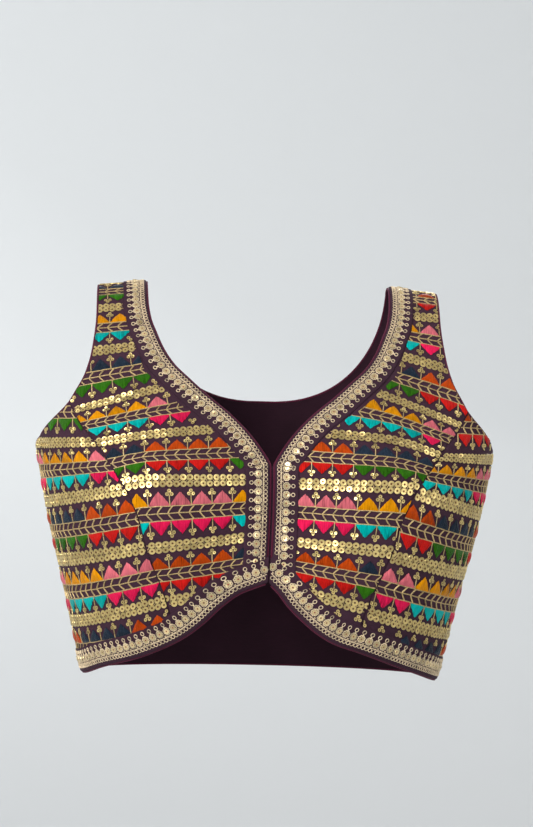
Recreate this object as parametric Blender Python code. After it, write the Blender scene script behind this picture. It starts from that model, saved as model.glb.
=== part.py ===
"""A sleeveless choli blouse in its worn, hollow form. Metres, +Z up, the front faces -Y.

The cloth is cut as five panels: two front centre panels, two front side panels joined to
them by princess seams, and one back. A lace-trimmed band is laid along the neck and centre
front of each side, another along each front hem, and every raw edge is bound with piping.
The origin is at the middle of the shoulder line, where the straps cross the shoulders.
R is the wearer's right, at -X.

Every panel is a wall on one smooth form. A place on the form is given by its height, by its
share of the half width there, from 0 at the middle to 1 at the side, and by front or back.
"""

import bpy
import numpy as np

MM = 0.001

# Cloth
WALL = 1.5 * MM
BAND_WALL = 1.0 * MM
GAP = 0.3 * MM
PIPING_RADIUS = 0.9 * MM
BAND_WIDTH = 20.5 * MM
BAND_COLUMNS = 3

# Places on the cut
EDGE_FROM_MIDDLE = 0.5 * GAP + 2 * PIPING_RADIUS + GAP
NECK_POINT = -0.162
PRINCESS_TOP = -0.108
UNDERARM = -0.148
SHOULDER_SEAM = -0.0034
BACK_HEM = -0.346
BACK_NECK_HALF_WIDTH = 0.109
BACK_NECK_BOTTOM = -0.105

# Rows and columns of the walls
STRAP_ROWS, CHEST_ROWS, BUST_ROWS, BAND_ROWS = 9, 5, 5, 2
NECK_ROWS, UNDERARM_ROWS = 8, 4
CENTRE_COLUMNS, SIDE_COLUMNS, BACK_COLUMNS = 5, 8, 10

# The form: half width, front and back depth from the side line, and how square the front is.
# Heights rise from the hem to the shoulder line.
FORM_HEIGHT = [-0.350, -0.322, -0.290, -0.250, -0.205, -0.170, -0.140, -0.100, -0.060, -0.030, 0.0]
HALF_WIDTH = [0.1565, 0.163, 0.1703, 0.180, 0.191, 0.198, 0.203, 0.200, 0.198, 0.196, 0.195]
FRONT_DEPTH = [0.127, 0.136, 0.145, 0.150, 0.149, 0.147, 0.136, 0.109, 0.080, 0.053, 0.0]
BACK_DEPTH = [0.082, 0.084, 0.086, 0.089, 0.091, 0.090, 0.085, 0.070, 0.050, 0.032, 0.0]
FRONT_SQUARENESS = [2.6, 2.7, 2.8, 2.9, 2.9, 2.9, 2.9, 3.2, 3.6, 3.8, 4.0]
BACK_SQUARENESS = 2.2
SIDE_LINE_FORWARD = 0.010
SIDE_LINE_HEIGHT = -0.100

# The cups, and the hollow between them where the cloth hangs straight
CUP_HEIGHT, CUP_FROM_MIDDLE = 0.016, 0.105
CUP_Z, CUP_WIDE, CUP_TALL = -0.200, 0.045, 0.050
HOLLOW_DEPTH, HOLLOW_WIDE = 0.013, 0.038
HOLLOW_Z, HOLLOW_TALL = -0.195, 0.070

# The shoulder line falls from the neck towards the arm, and the fall fades below the strap.
SHOULDER_FALL, SHOULDER_MIDDLE, SHOULDER_FADE = 0.095, 0.130, 0.150

# Outlines: distance from the middle at each height
NECK_HEIGHT = [-0.162, -0.1555, -0.142, -0.1285, -0.115, -0.1015, -0.088, -0.074, -0.060, -0.046,
               -0.035, -0.020, 0.0]
NECK_X = [0.0, 0.0030, 0.0115, 0.0225, 0.0365, 0.0535, 0.069, 0.084, 0.0935, 0.100, 0.1045, 0.1075, 0.109]
ARMHOLE_HEIGHT = [PRINCESS_TOP, -0.102, -0.081, -0.060, -0.030, 0.0]
ARMHOLE_X = [0.172, 0.1686, 0.158, 0.153, 0.1505, 0.151]
PRINCESS_HEIGHT = [-0.350, -0.320, -0.290, -0.275, -0.262, -0.245, -0.227, -0.210, -0.188, -0.165,
                   -0.149, -0.137, -0.126, PRINCESS_TOP]
PRINCESS_X = [0.0785, 0.079, 0.0805, 0.0845, 0.089, 0.0965, 0.1037, 0.108, 0.117, 0.131,
              0.143, 0.152, 0.1615, 0.172]

# The lower half of the front armhole, over the side panel from its seam to the side seam
UNDERARM_SHARE = [0.0, 0.16, 0.49, 0.73, 1.0]
UNDERARM_HEIGHT = [PRINCESS_TOP, -0.115, -0.129, -0.1395, UNDERARM]

# The back armhole, as degrees round the back from its middle
BACK_ARMHOLE_HEIGHT = [UNDERARM, -0.1465, -0.140, -0.128, -0.110, -0.085, -0.055, -0.030, 0.0]
BACK_ARMHOLE_ANGLE = [90.0, 82.0, 73.0, 65.0, 57.0, 51.5, 48.9, 48.5, 49.0]

# The front hem of each side, which arches up to the middle
HEM_X = {
    "R": [0.0, 0.0115, 0.0235, 0.039, 0.052, 0.065, 0.078, 0.106, 0.1375, 0.158],
    "L": [0.0, 0.0093, 0.0178, 0.0305, 0.0433, 0.0573, 0.082, 0.112, 0.138, 0.158],
}
HEM_HEIGHT = {
    "R": [-0.2557, -0.260, -0.265, -0.2766, -0.2895, -0.3005, -0.309, -0.3225, -0.334, BACK_HEM],
    "L": [-0.2557, -0.2647, -0.2754, -0.2876, -0.298, -0.306, -0.3145, -0.326, -0.3365, BACK_HEM],
}

# Over how far an edge's slope is taken, and the steepest hem, squared, that widens its band
NECK_REACH, HEM_REACH = 3 * MM, 6 * MM
STEEPEST_HEM = 0.7

# How the rows of the walls crowd towards the shoulder, the neck and the underarm, and how
# round the back neck is
STRAP_EASE, NECK_TURN, ARMHOLE_FALL, NECK_ROUNDNESS = 1.7, 1.3, 1.4, 0.8

SIDE_SIGN = {"R": -1.0, "L": 1.0}
RIGHT_ANGLE = np.pi / 2
SHARP_ANGLE = np.radians(50.0)
STEP = 1e-5


def smooth(places, values, at):
    """A curve through the given values that never overshoots them."""
    places, values = np.asarray(places, float), np.asarray(values, float)
    at = np.clip(at, places[0], places[-1])
    runs, slopes = np.diff(places), np.diff(values) / np.diff(places)
    same_way = slopes[:-1] * slopes[1:] > 0
    total = np.where(same_way, slopes[:-1] + slopes[1:], 1.0)
    inner = np.where(same_way, 2 * slopes[:-1] * slopes[1:] / total, 0.0)
    tangents = np.concatenate([slopes[:1], inner, slopes[-1:]])
    span = np.clip(np.searchsorted(places, at, side="right") - 1, 0, len(runs) - 1)
    run = runs[span]
    t = (at - places[span]) / run
    return (
        (2 * t**3 - 3 * t**2 + 1) * values[span]
        + (t**3 - 2 * t**2 + t) * run * tangents[span]
        + (3 * t**2 - 2 * t**3) * values[span + 1]
        + (t**3 - t**2) * run * tangents[span + 1]
    )


def half_width(z):
    return smooth(FORM_HEIGHT, HALF_WIDTH, z)


def squareness(z, front):
    return smooth(FORM_HEIGHT, FRONT_SQUARENESS, z) if front else np.full_like(z, BACK_SQUARENESS)


def depth(z, front):
    """Depth grows as the square root of the drop at the shoulder line, which rounds it over."""
    squares = np.square(FRONT_DEPTH if front else BACK_DEPTH)
    return np.sqrt(np.maximum(smooth(FORM_HEIGHT, squares, z), 0.0))


def bell(distance, spread):
    return np.exp(-0.5 * (distance / spread) ** 2)


def angle_of(x, z, front):
    """The angle round the section, 0 at the middle and 90 degrees at the side."""
    share = np.clip(np.abs(x) / half_width(z), 0.0, 1.0)
    return np.arcsin(share ** (squareness(z, front) / 2))


def x_of(angle, z, front):
    return half_width(z) * np.maximum(np.sin(angle), 0.0) ** (2 / squareness(z, front))


def place(side, angle, z, front):
    """Points on the form, as an array with x, y and z last."""
    angle, z = np.broadcast_arrays(np.asarray(angle, float), np.asarray(z, float))
    x = x_of(angle, z, front)
    along = depth(z, front) * np.maximum(np.cos(angle), 0.0) ** (2 / squareness(z, front))
    side_line = -SIDE_LINE_FORWARD * np.clip(z / SIDE_LINE_HEIGHT, 0.0, 1.0)
    if front:
        cup = CUP_HEIGHT * bell(x - CUP_FROM_MIDDLE, CUP_WIDE) * bell(z - CUP_Z, CUP_TALL)
        hollow = HOLLOW_DEPTH * bell(x, HOLLOW_WIDE) * bell(z - HOLLOW_Z, HOLLOW_TALL)
        y = side_line - along - cup + hollow - GAP / 2
    else:
        y = side_line + along + GAP / 2
    fade = np.clip(1 + z / SHOULDER_FADE, 0.0, 1.0) ** 2
    fall = SHOULDER_FALL * (x - SHOULDER_MIDDLE) * fade
    return np.stack([SIDE_SIGN[side] * x, y, z - fall], axis=-1)


def surface(side, angle, z, front):
    """Points on the form and the outward directions there."""
    points = place(side, angle, z, front)
    turn = np.where(np.asarray(angle) > 1.0, -STEP, STEP)
    across = (place(side, angle + turn, z, front) - points) * np.sign(turn)[..., None]
    down = place(side, angle, z - STEP, front) - points
    outward = np.cross(down, across) * SIDE_SIGN[side] * (1 if front else -1)
    return points, outward / np.linalg.norm(outward, axis=-1, keepdims=True)


def hem(side, x):
    return smooth(HEM_X[side], HEM_HEIGHT[side], x)


def band_top(side, x):
    """The upper edge of the hem band: its width above the hem, measured square to the hem."""
    rise = hem(side, x + HEM_REACH) - hem(side, np.maximum(x - HEM_REACH, 0.0))
    slope = rise / (2 * HEM_REACH)
    return hem(side, x) + BAND_WIDTH * np.sqrt(1 + np.minimum(slope**2, STEEPEST_HEM))


def front_edge(z):
    """The neck edge and, below it, the centre front edge."""
    return np.maximum(smooth(NECK_HEIGHT, NECK_X, z), EDGE_FROM_MIDDLE)


def across_band(z):
    """How much wider than the neck band a level line across it is, where the edge slants."""
    slope = (front_edge(z + NECK_REACH) - front_edge(z - NECK_REACH)) / (2 * NECK_REACH)
    return np.sqrt(1 + slope**2)


def outer_edge(z):
    """The front armhole and, below it, the princess seam."""
    seam = smooth(PRINCESS_HEIGHT, PRINCESS_X, z)
    return np.where(z > PRINCESS_TOP, smooth(ARMHOLE_HEIGHT, ARMHOLE_X, z), seam)


def centre_rows(side):
    """Shares of the drop to the hem band: quick at the shoulder, with a row at each corner."""
    foot = band_top(side, PRINCESS_X[1])
    at_princess = PRINCESS_TOP / foot
    at_neck_point = NECK_POINT / band_top(side, EDGE_FROM_MIDDLE)
    strap = at_princess * np.linspace(0, 1, STRAP_ROWS + 1) ** STRAP_EASE
    chest = np.linspace(at_princess, at_neck_point, CHEST_ROWS + 1)[1:]
    bust = np.linspace(at_neck_point, 1, BUST_ROWS + 1)[1:]
    return np.concatenate([strap, chest, bust])


def centre_columns_at(z):
    """How far from the middle each column of a front centre panel lies, for its own height."""
    near, rest = z[:, : BAND_COLUMNS + 1], z[:, BAND_COLUMNS + 1 :]
    in_band = np.arange(BAND_COLUMNS + 1) * BAND_WIDTH / BAND_COLUMNS
    banded = front_edge(near) + in_band * across_band(near)
    start = front_edge(rest) + BAND_WIDTH * across_band(rest)
    share = np.arange(1, CENTRE_COLUMNS + 1) / CENTRE_COLUMNS
    panel = start + (outer_edge(rest) - GAP / 2 - start) * share
    return np.concatenate([banded, panel], axis=1)


def centre_feet():
    """Distances from the middle of the columns where they meet the hem."""
    in_band = EDGE_FROM_MIDDLE + np.arange(BAND_COLUMNS + 1) * BAND_WIDTH / BAND_COLUMNS
    share = np.arange(1, CENTRE_COLUMNS + 1) / CENTRE_COLUMNS
    return np.concatenate([in_band, in_band[-1] + (PRINCESS_X[1] - in_band[-1]) * share])


def joined(*parts):
    return tuple(np.concatenate(arrays, axis=0) for arrays in zip(*parts))


def centre_grid(side, shares, band_shares=()):
    """A front centre panel from the shoulder seam, over the shoulder line, down to the hem."""
    feet = centre_feet()
    wrap = np.repeat([[SHOULDER_SEAM], [SHOULDER_SEAM / 4]], len(feet), axis=1)
    over = surface(side, angle_of(centre_columns_at(wrap), wrap, False), wrap, False)
    over[0][..., 1] -= GAP
    top, bottom = band_top(side, feet), hem(side, feet)
    z = np.concatenate([np.outer(shares, top)] + [[top + (bottom - top) * share] for share in band_shares])
    return joined(over, surface(side, angle_of(centre_columns_at(z), z, True), z, True))


def side_grid(side, shares, band_shares=()):
    """A front side panel, from the armhole to the hem and from the princess seam to the side."""
    across = np.linspace(0, 1, SIDE_COLUMNS + 1)
    top = smooth(UNDERARM_SHARE, UNDERARM_HEIGHT, across)

    def angles(z):
        start = angle_of(outer_edge(np.minimum(z, PRINCESS_TOP)) + GAP / 2, z, True)
        return start + (RIGHT_ANGLE - start) * across

    feet = x_of(angles(np.full_like(across, BACK_HEM)), np.full_like(across, BACK_HEM), True)
    feet[0] = PRINCESS_X[1]
    band, bottom = band_top(side, feet), hem(side, feet)
    drop = (shares - shares[0]) / (1 - shares[0])
    z = np.concatenate(
        [top + np.outer(drop, band - top)] + [[band + (bottom - band) * share] for share in band_shares]
    )
    return surface(side, angles(z), z, True)


def back_grid(side, seam_heights, middle_heights):
    """Half the back: rows fan from the neck to the armhole, then run level from side to side."""
    fan = np.linspace(0, 1, NECK_ROWS + 1)
    turn = fan**NECK_TURN * RIGHT_ANGLE
    neck_z = SHOULDER_SEAM + (BACK_NECK_BOTTOM - SHOULDER_SEAM) * np.sin(turn)
    neck_x = BACK_NECK_HALF_WIDTH * np.maximum(np.cos(turn), 0.0) ** NECK_ROUNDNESS
    arm_z = SHOULDER_SEAM + (BACK_NECK_BOTTOM - SHOULDER_SEAM) * fan**ARMHOLE_FALL
    to_underarm = 1 - (1 - np.linspace(0, 1, UNDERARM_ROWS + 1)[1:-1]) ** STRAP_EASE
    level = BACK_NECK_BOTTOM + (UNDERARM - BACK_NECK_BOTTOM) * to_underarm
    inner_z = np.concatenate([neck_z, level, middle_heights])
    outer_z = np.concatenate([arm_z, level, seam_heights])
    inner_x = np.concatenate([neck_x, np.zeros(len(level) + len(middle_heights))])
    inner = angle_of(inner_x, inner_z, False)
    outer = np.radians(smooth(BACK_ARMHOLE_HEIGHT, BACK_ARMHOLE_ANGLE, np.maximum(outer_z, UNDERARM)))
    across = np.linspace(0, 1, BACK_COLUMNS + 1)
    z = inner_z[:, None] + (outer_z - inner_z)[:, None] * across
    angle = inner[:, None] + (outer - inner)[:, None] * across
    return surface(side, angle, z, False)


def cells_of(points, outward):
    """The triangles of a grid, facing outward. Every grid is split along the same diagonal."""
    rows, columns = points.shape[:2]
    index = np.arange(rows * columns).reshape(rows, columns)
    first, below = index[:-1, :-1].ravel(), index[1:, :-1].ravel()
    across, beside = index[1:, 1:].ravel(), index[:-1, 1:].ravel()
    cells = np.concatenate([np.stack([first, below, across], 1), np.stack([first, across, beside], 1)])
    start, down, over = points.reshape(-1, 3)[cells[0]]
    faces_out = np.dot(np.cross(down - start, over - start), outward[0, 0]) > 0
    return cells if faces_out else cells[:, ::-1]


def lofted_wall(name, grids, low, high, material):
    """A closed wall between grids moved out by low and by high. Grids join where points meet."""
    points = np.concatenate([grid[0].reshape(-1, 3) for grid in grids])
    outward = np.concatenate([grid[1].reshape(-1, 3) for grid in grids])
    starts = np.cumsum([0] + [grid[0][..., 0].size for grid in grids])
    cells = np.concatenate([cells_of(*grid) + start for grid, start in zip(grids, starts)])
    rounded = np.round(points / STEP).astype(int)
    _, kept, merged = np.unique(rounded, axis=0, return_index=True, return_inverse=True)
    points, outward, cells = points[kept], outward[kept], merged.reshape(-1)[cells]
    edges = np.concatenate([cells[:, [0, 1]], cells[:, [1, 2]], cells[:, [2, 0]]])
    shared = set(map(tuple, edges[:, ::-1].tolist()))
    rim = np.array([edge for edge in edges.tolist() if tuple(edge) not in shared])
    start, end, inner = rim[:, 0], rim[:, 1], len(points)
    sides = np.concatenate(
        [np.stack([end, start, start + inner], 1), np.stack([end, start + inner, end + inner], 1)]
    )
    corners = np.concatenate([points + outward * high, points + outward * low])
    faces = np.concatenate([cells, cells[:, ::-1] + inner, sides])
    mesh = bpy.data.meshes.new(name)
    mesh.from_pydata(corners.tolist(), [], faces.tolist())
    mesh.materials.append(material)
    mesh.shade_smooth()
    mesh.set_sharp_from_angle(angle=SHARP_ANGLE)
    return add(name, mesh)


def piping(name, edges, closed, material):
    """A bound edge: a tube beside a wall's edge, from the edge and the points next to it."""
    points = np.concatenate([edge[0] for edge in edges])
    outward = np.concatenate([edge[1] for edge in edges])
    inside = np.concatenate([edge[2] for edge in edges])
    if closed:
        ahead, behind = np.roll(points, -1, axis=0), np.roll(points, 1, axis=0)
    else:
        ahead = np.concatenate([points[1:], points[-1:]])
        behind = np.concatenate([points[:1], points[:-1]])
    beside = np.cross(ahead - behind, outward)
    beside /= np.linalg.norm(beside, axis=1, keepdims=True)
    beside *= np.sign(np.sum(beside * (points - inside)))
    centres = points - outward * WALL / 2 + beside * (PIPING_RADIUS + GAP)
    curve = bpy.data.curves.new(name, "CURVE")
    curve.dimensions = "3D"
    curve.bevel_depth = PIPING_RADIUS
    curve.bevel_resolution = 1
    curve.use_fill_caps = not closed
    spline = curve.splines.new("POLY")
    spline.points.add(len(centres) - 1)
    spline.points.foreach_set("co", np.column_stack([centres, np.ones(len(centres))]).ravel())
    spline.use_cyclic_u = closed
    curve.materials.append(material)
    return add(name, curve)


def add(name, data):
    made = bpy.data.objects.new(name, data)
    bpy.data.collections["choli_blouse"].objects.link(made)
    return made


def principled(name, colour, roughness):
    material = bpy.data.materials.new(name)
    material.use_nodes = True
    shader = material.node_tree.nodes["Principled BSDF"]
    shader.inputs["Base Color"].default_value = (*colour, 1.0)
    shader.inputs["Roughness"].default_value = roughness
    return material


def edge_of(grid, rows, columns, inner_rows, inner_columns):
    """An edge of a grid: its points, outward directions and points further inside the wall."""
    points, outward = grid
    return points[rows, columns], outward[rows, columns], points[inner_rows, inner_columns]


def main():
    for old in list(bpy.data.objects):
        bpy.data.objects.remove(old, do_unlink=True)
    collection = bpy.data.collections.new("choli_blouse")
    bpy.context.scene.collection.children.link(collection)
    cloth = principled("embroidered_cloth", (0.055, 0.022, 0.060), 0.75)
    band_cloth = principled("band_cloth", (0.048, 0.020, 0.055), 0.7)
    bias = principled("piping_cloth", (0.070, 0.012, 0.030), 0.6)

    band_shares = np.arange(1, BAND_ROWS + 1) / BAND_ROWS
    centre, flank, back = {}, {}, {}
    for side in ("R", "L"):
        shares = centre_rows(side)
        centre[side] = centre_grid(side, shares, band_shares)
        flank[side] = side_grid(side, shares[STRAP_ROWS:], band_shares)
    seam_heights = {side: flank[side][0][:, -1, 2] for side in flank}
    for side in ("R", "L"):
        back[side] = back_grid(side, seam_heights[side], sum(seam_heights.values()) / 2)
        lofted_wall(f"front_centre_{side}", [centre[side]], -WALL, 0.0, cloth)
        lofted_wall(f"front_side_{side}", [flank[side]], -WALL, 0.0, cloth)

        clear_of_hem_band = centre_rows(side)
        clear_of_hem_band[-1] -= 1.5 * GAP / abs(band_top(side, EDGE_FROM_MIDDLE))
        along_neck = [part[:, : BAND_COLUMNS + 1] for part in centre_grid(side, clear_of_hem_band)]
        lofted_wall(f"neck_border_{side}", [along_neck], GAP, GAP + BAND_WALL, band_cloth)
        foot = slice(-BAND_ROWS - 1, None)
        along_hem = [
            np.concatenate([centre_part[foot], side_part[foot, 1:]], axis=1)
            for centre_part, side_part in zip(centre[side], flank[side])
        ]
        lofted_wall(f"hem_border_{side}", [along_hem], GAP, GAP + BAND_WALL, band_cloth)

    lofted_wall("back", [back["R"], back["L"]], -WALL, 0.0, cloth)

    up, down, every = slice(None, None, -1), slice(None), slice(None)
    piping(
        "neck_piping",
        [
            edge_of(centre["R"], up, 0, up, 1),
            edge_of(back["R"], slice(1, NECK_ROWS + 1), 0, slice(2, NECK_ROWS + 2), 1),
            edge_of(back["L"], slice(NECK_ROWS - 1, 0, -1), 0, slice(NECK_ROWS, 1, -1), 1),
            edge_of(centre["L"], down, 0, down, 1),
        ],
        False, bias,
    )
    piping(
        "hem_piping",
        [
            edge_of(centre["R"], -1, every, -2, every),
            edge_of(flank["R"], -1, slice(1, None), -2, slice(1, None)),
            edge_of(back["R"], -1, slice(-2, None, -1), -2, slice(-2, None, -1)),
            edge_of(back["L"], -1, slice(1, -1), -2, slice(1, -1)),
            edge_of(flank["L"], -1, slice(None, 0, -1), -2, slice(None, 0, -1)),
            edge_of(centre["L"], -1, up, -2, up),
        ],
        False, bias,
    )
    wrap_and_strap = slice(0, STRAP_ROWS + 3)
    underarm_row = NECK_ROWS + UNDERARM_ROWS
    for side in ("R", "L"):
        piping(
            f"armhole_piping_{side}",
            [
                edge_of(centre[side], wrap_and_strap, -1, wrap_and_strap, -2),
                edge_of(flank[side], 0, slice(1, None), 1, slice(1, None)),
                edge_of(back[side], slice(underarm_row - 1, 0, -1), -1, slice(underarm_row, 1, -1), -2),
            ],
            True, bias,
        )


main()
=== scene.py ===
"""Looks of the choli blouse: dark purple cloth with embroidered rows, lace bands and bias piping.

Lengths are in metres. A place on the cloth is given by an angle round the body, 0 at the middle
and 90 degrees at the side, a height, and front or back, as in the CAD. On top of that, each row
of embroidery and each lace band has fabric coordinates: s along it, v or w across it, h out of it.
"""

import bpy
import numpy as np
from mathutils import Euler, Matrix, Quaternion, Vector


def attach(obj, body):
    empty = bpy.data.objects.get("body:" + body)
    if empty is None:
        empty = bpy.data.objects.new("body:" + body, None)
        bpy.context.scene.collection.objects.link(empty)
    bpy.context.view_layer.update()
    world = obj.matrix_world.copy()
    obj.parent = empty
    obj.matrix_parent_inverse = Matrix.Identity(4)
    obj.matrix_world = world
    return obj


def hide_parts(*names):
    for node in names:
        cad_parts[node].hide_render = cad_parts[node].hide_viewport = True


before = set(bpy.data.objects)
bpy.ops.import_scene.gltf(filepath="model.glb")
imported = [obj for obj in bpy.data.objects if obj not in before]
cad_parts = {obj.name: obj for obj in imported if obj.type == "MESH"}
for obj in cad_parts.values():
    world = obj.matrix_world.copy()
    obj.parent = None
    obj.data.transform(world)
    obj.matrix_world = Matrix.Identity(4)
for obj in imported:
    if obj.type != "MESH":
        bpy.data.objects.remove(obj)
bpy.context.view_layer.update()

MM = 0.001
RNG = np.random.default_rng(7)

# ---- the cut, as in the CAD
WALL = 1.5 * MM
BAND_WALL = 1.0 * MM
GAP = 0.3 * MM
PIPING_RADIUS = 0.9 * MM
BAND_WIDTH = 20.5 * MM
EDGE_FROM_MIDDLE = 0.5 * GAP + 2 * PIPING_RADIUS + GAP
PRINCESS_TOP = -0.108
UNDERARM = -0.148
SHOULDER_SEAM = -0.0034
BACK_HEM = -0.346
CENTRE_HEM = -0.2557
BACK_NECK_HALF_WIDTH = 0.109
BACK_NECK_BOTTOM = -0.105

# The worn form: half width, and depth of front and back, at each height
FORM_HEIGHT = [-0.350, -0.322, -0.290, -0.250, -0.205, -0.170, -0.140, -0.100, -0.060, -0.030, 0.0]
HALF_WIDTH = [0.1565, 0.163, 0.1703, 0.180, 0.191, 0.198, 0.203, 0.200, 0.198, 0.196, 0.195]
FRONT_DEPTH = [0.127, 0.136, 0.145, 0.150, 0.149, 0.147, 0.136, 0.109, 0.080, 0.053, 0.0]
BACK_DEPTH = [0.082, 0.084, 0.086, 0.089, 0.091, 0.090, 0.085, 0.070, 0.050, 0.032, 0.0]
FRONT_SQUARENESS = [2.6, 2.7, 2.8, 2.9, 2.9, 2.9, 2.9, 3.2, 3.6, 3.8, 4.0]
BACK_SQUARENESS = 2.2
SIDE_LINE_FORWARD = 0.010
SIDE_LINE_HEIGHT = -0.100
# The fullness of each cup, the hollow between them, and how the shoulders fall outward
CUP_HEIGHT, CUP_FROM_MIDDLE = 0.016, 0.105
CUP_Z, CUP_WIDE, CUP_TALL = -0.200, 0.045, 0.050
HOLLOW_DEPTH, HOLLOW_WIDE = 0.013, 0.038
HOLLOW_Z, HOLLOW_TALL = -0.195, 0.070
SHOULDER_FALL, SHOULDER_MIDDLE, SHOULDER_FADE = 0.095, 0.130, 0.150

# Edges and seams, as distances from the middle or angles at each height
NECK_HEIGHT = [-0.162, -0.1555, -0.142, -0.1285, -0.115, -0.1015, -0.088, -0.074, -0.060, -0.046,
               -0.035, -0.020, 0.0]
NECK_X = [0.0, 0.0030, 0.0115, 0.0225, 0.0365, 0.0535, 0.069, 0.084, 0.0935, 0.100, 0.1045, 0.1075, 0.109]
ARMHOLE_HEIGHT = [PRINCESS_TOP, -0.102, -0.081, -0.060, -0.030, 0.0]
ARMHOLE_X = [0.172, 0.1686, 0.158, 0.153, 0.1505, 0.151]
PRINCESS_HEIGHT = [-0.350, -0.320, -0.290, -0.275, -0.262, -0.245, -0.227, -0.210, -0.188, -0.165,
                   -0.149, -0.137, -0.126, PRINCESS_TOP]
PRINCESS_X = [0.0785, 0.079, 0.0805, 0.0845, 0.089, 0.0965, 0.1037, 0.108, 0.117, 0.131,
              0.143, 0.152, 0.1615, 0.172]
UNDERARM_SHARE = [0.0, 0.16, 0.49, 0.73, 1.0]
UNDERARM_HEIGHT = [PRINCESS_TOP, -0.115, -0.129, -0.1395, UNDERARM]
BACK_ARMHOLE_HEIGHT = [UNDERARM, -0.1465, -0.140, -0.128, -0.110, -0.085, -0.055, -0.030, 0.0]
BACK_ARMHOLE_ANGLE = [90.0, 82.0, 73.0, 65.0, 57.0, 51.5, 48.9, 48.5, 49.0]
HEM_X = {
    "R": [0.0, 0.0115, 0.0235, 0.039, 0.052, 0.065, 0.078, 0.106, 0.1375, 0.158],
    "L": [0.0, 0.0093, 0.0178, 0.0305, 0.0433, 0.0573, 0.082, 0.112, 0.138, 0.158],
}
HEM_HEIGHT = {
    "R": [CENTRE_HEM, -0.260, -0.265, -0.2766, -0.2895, -0.3005, -0.309, -0.3225, -0.334, BACK_HEM],
    "L": [CENTRE_HEM, -0.2647, -0.2754, -0.2876, -0.298, -0.306, -0.3145, -0.326, -0.3365, BACK_HEM],
}
SIDE_SIGN = {"R": -1.0, "L": 1.0}
# The step for slopes of the surface, and the least move that counts as being pulled back
STEP = 1e-5
RIGHT_ANGLE = np.pi / 2
# How far to each side the slope of an edge is measured, and the greatest squared slope allowed for
HEM_REACH, NECK_REACH, MOST_HEM_SLOPE = 0.006, 0.003, 0.7

# Soft folds: side, front or back, angle in degrees, height, tilt in degrees, half length, half
# width and height, all in metres. Tilt 0 runs level and 90 runs up and down.
CREASES = [
    ("R", True, 66.0, -0.150, 18.0, 0.030, 0.0042, -0.0016),
    ("R", True, 62.0, -0.168, 30.0, 0.022, 0.0040, 0.0012),
    ("R", True, 52.0, -0.176, 62.0, 0.020, 0.0040, -0.0012),
    ("R", True, 36.0, -0.236, 75.0, 0.022, 0.0050, -0.0014),
    ("R", True, 27.0, -0.262, 70.0, 0.020, 0.0060, -0.0012),
    ("R", True, 60.0, -0.262, 12.0, 0.034, 0.0060, -0.0014),
    ("R", True, 70.0, -0.306, 10.0, 0.030, 0.0060, 0.0012),
    ("L", True, 66.0, -0.152, 20.0, 0.028, 0.0044, -0.0014),
    ("L", True, 58.0, -0.182, 40.0, 0.022, 0.0045, -0.0012),
    ("L", True, 34.0, -0.238, 78.0, 0.022, 0.0050, -0.0014),
    ("L", True, 62.0, -0.268, 14.0, 0.034, 0.0060, -0.0014),
    ("L", True, 72.0, -0.312, 8.0, 0.030, 0.0060, 0.0012),
    ("R", False, 62.0, -0.172, 24.0, 0.030, 0.0050, -0.0016),
    ("L", False, 60.0, -0.178, 20.0, 0.030, 0.0050, -0.0016),
    ("R", False, 30.0, -0.262, 8.0, 0.045, 0.0065, -0.0018),
    ("L", False, 34.0, -0.286, 10.0, 0.045, 0.0065, -0.0018),
    ("R", False, 48.0, -0.312, 14.0, 0.035, 0.0060, 0.0014),
    ("L", False, 52.0, -0.232, 12.0, 0.035, 0.0060, 0.0014),
]
# About the form's radius, which turns an angle into a distance round it
CREASE_RADIUS = 0.17

# The closed front is pulled a little towards the left side, most at its middle.
LEAN, LEAN_WIDE, LEAN_Z, LEAN_TALL = 2.2 * MM, 0.045, -0.185, 0.045


def smooth(places, values, at):
    """A curve through the given values that never overshoots them."""
    places, values = np.asarray(places, float), np.asarray(values, float)
    at = np.clip(at, places[0], places[-1])
    runs, slopes = np.diff(places), np.diff(values) / np.diff(places)
    same_way = slopes[:-1] * slopes[1:] > 0
    total = np.where(same_way, slopes[:-1] + slopes[1:], 1.0)
    inner = np.where(same_way, 2 * slopes[:-1] * slopes[1:] / total, 0.0)
    tangents = np.concatenate([slopes[:1], inner, slopes[-1:]])
    span = np.clip(np.searchsorted(places, at, side="right") - 1, 0, len(runs) - 1)
    run = runs[span]
    t = (at - places[span]) / run
    return (
        (2 * t**3 - 3 * t**2 + 1) * values[span]
        + (t**3 - 2 * t**2 + t) * run * tangents[span]
        + (3 * t**2 - 2 * t**3) * values[span + 1]
        + (t**3 - t**2) * run * tangents[span + 1]
    )


def half_width(z):
    return smooth(FORM_HEIGHT, HALF_WIDTH, z)


def squareness(z, front):
    return smooth(FORM_HEIGHT, FRONT_SQUARENESS, z) if front else np.full_like(z, BACK_SQUARENESS)


def depth(z, front):
    squares = np.square(FRONT_DEPTH if front else BACK_DEPTH)
    return np.sqrt(np.maximum(smooth(FORM_HEIGHT, squares, z), 0.0))


def distances(points):
    """The distance along a run of points to each of them."""
    return np.concatenate([[0.0], np.cumsum(np.linalg.norm(np.diff(points, axis=0), axis=1))])


def eased_turn(shares):
    """Angles from the middle to the side, closer together at both ends."""
    return RIGHT_ANGLE * (3 * shares**2 - 2 * shares**3)


def bell(distance, spread):
    """1 in the middle, falling away smoothly on both sides."""
    return np.exp(-0.5 * (distance / spread) ** 2)


def angle_of(x, z, front):
    share = np.clip(np.abs(x) / half_width(z), 0.0, 1.0)
    return np.arcsin(share ** (squareness(z, front) / 2))


def x_of(angle, z, front):
    return half_width(z) * np.maximum(np.sin(angle), 0.0) ** (2 / squareness(z, front))


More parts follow.
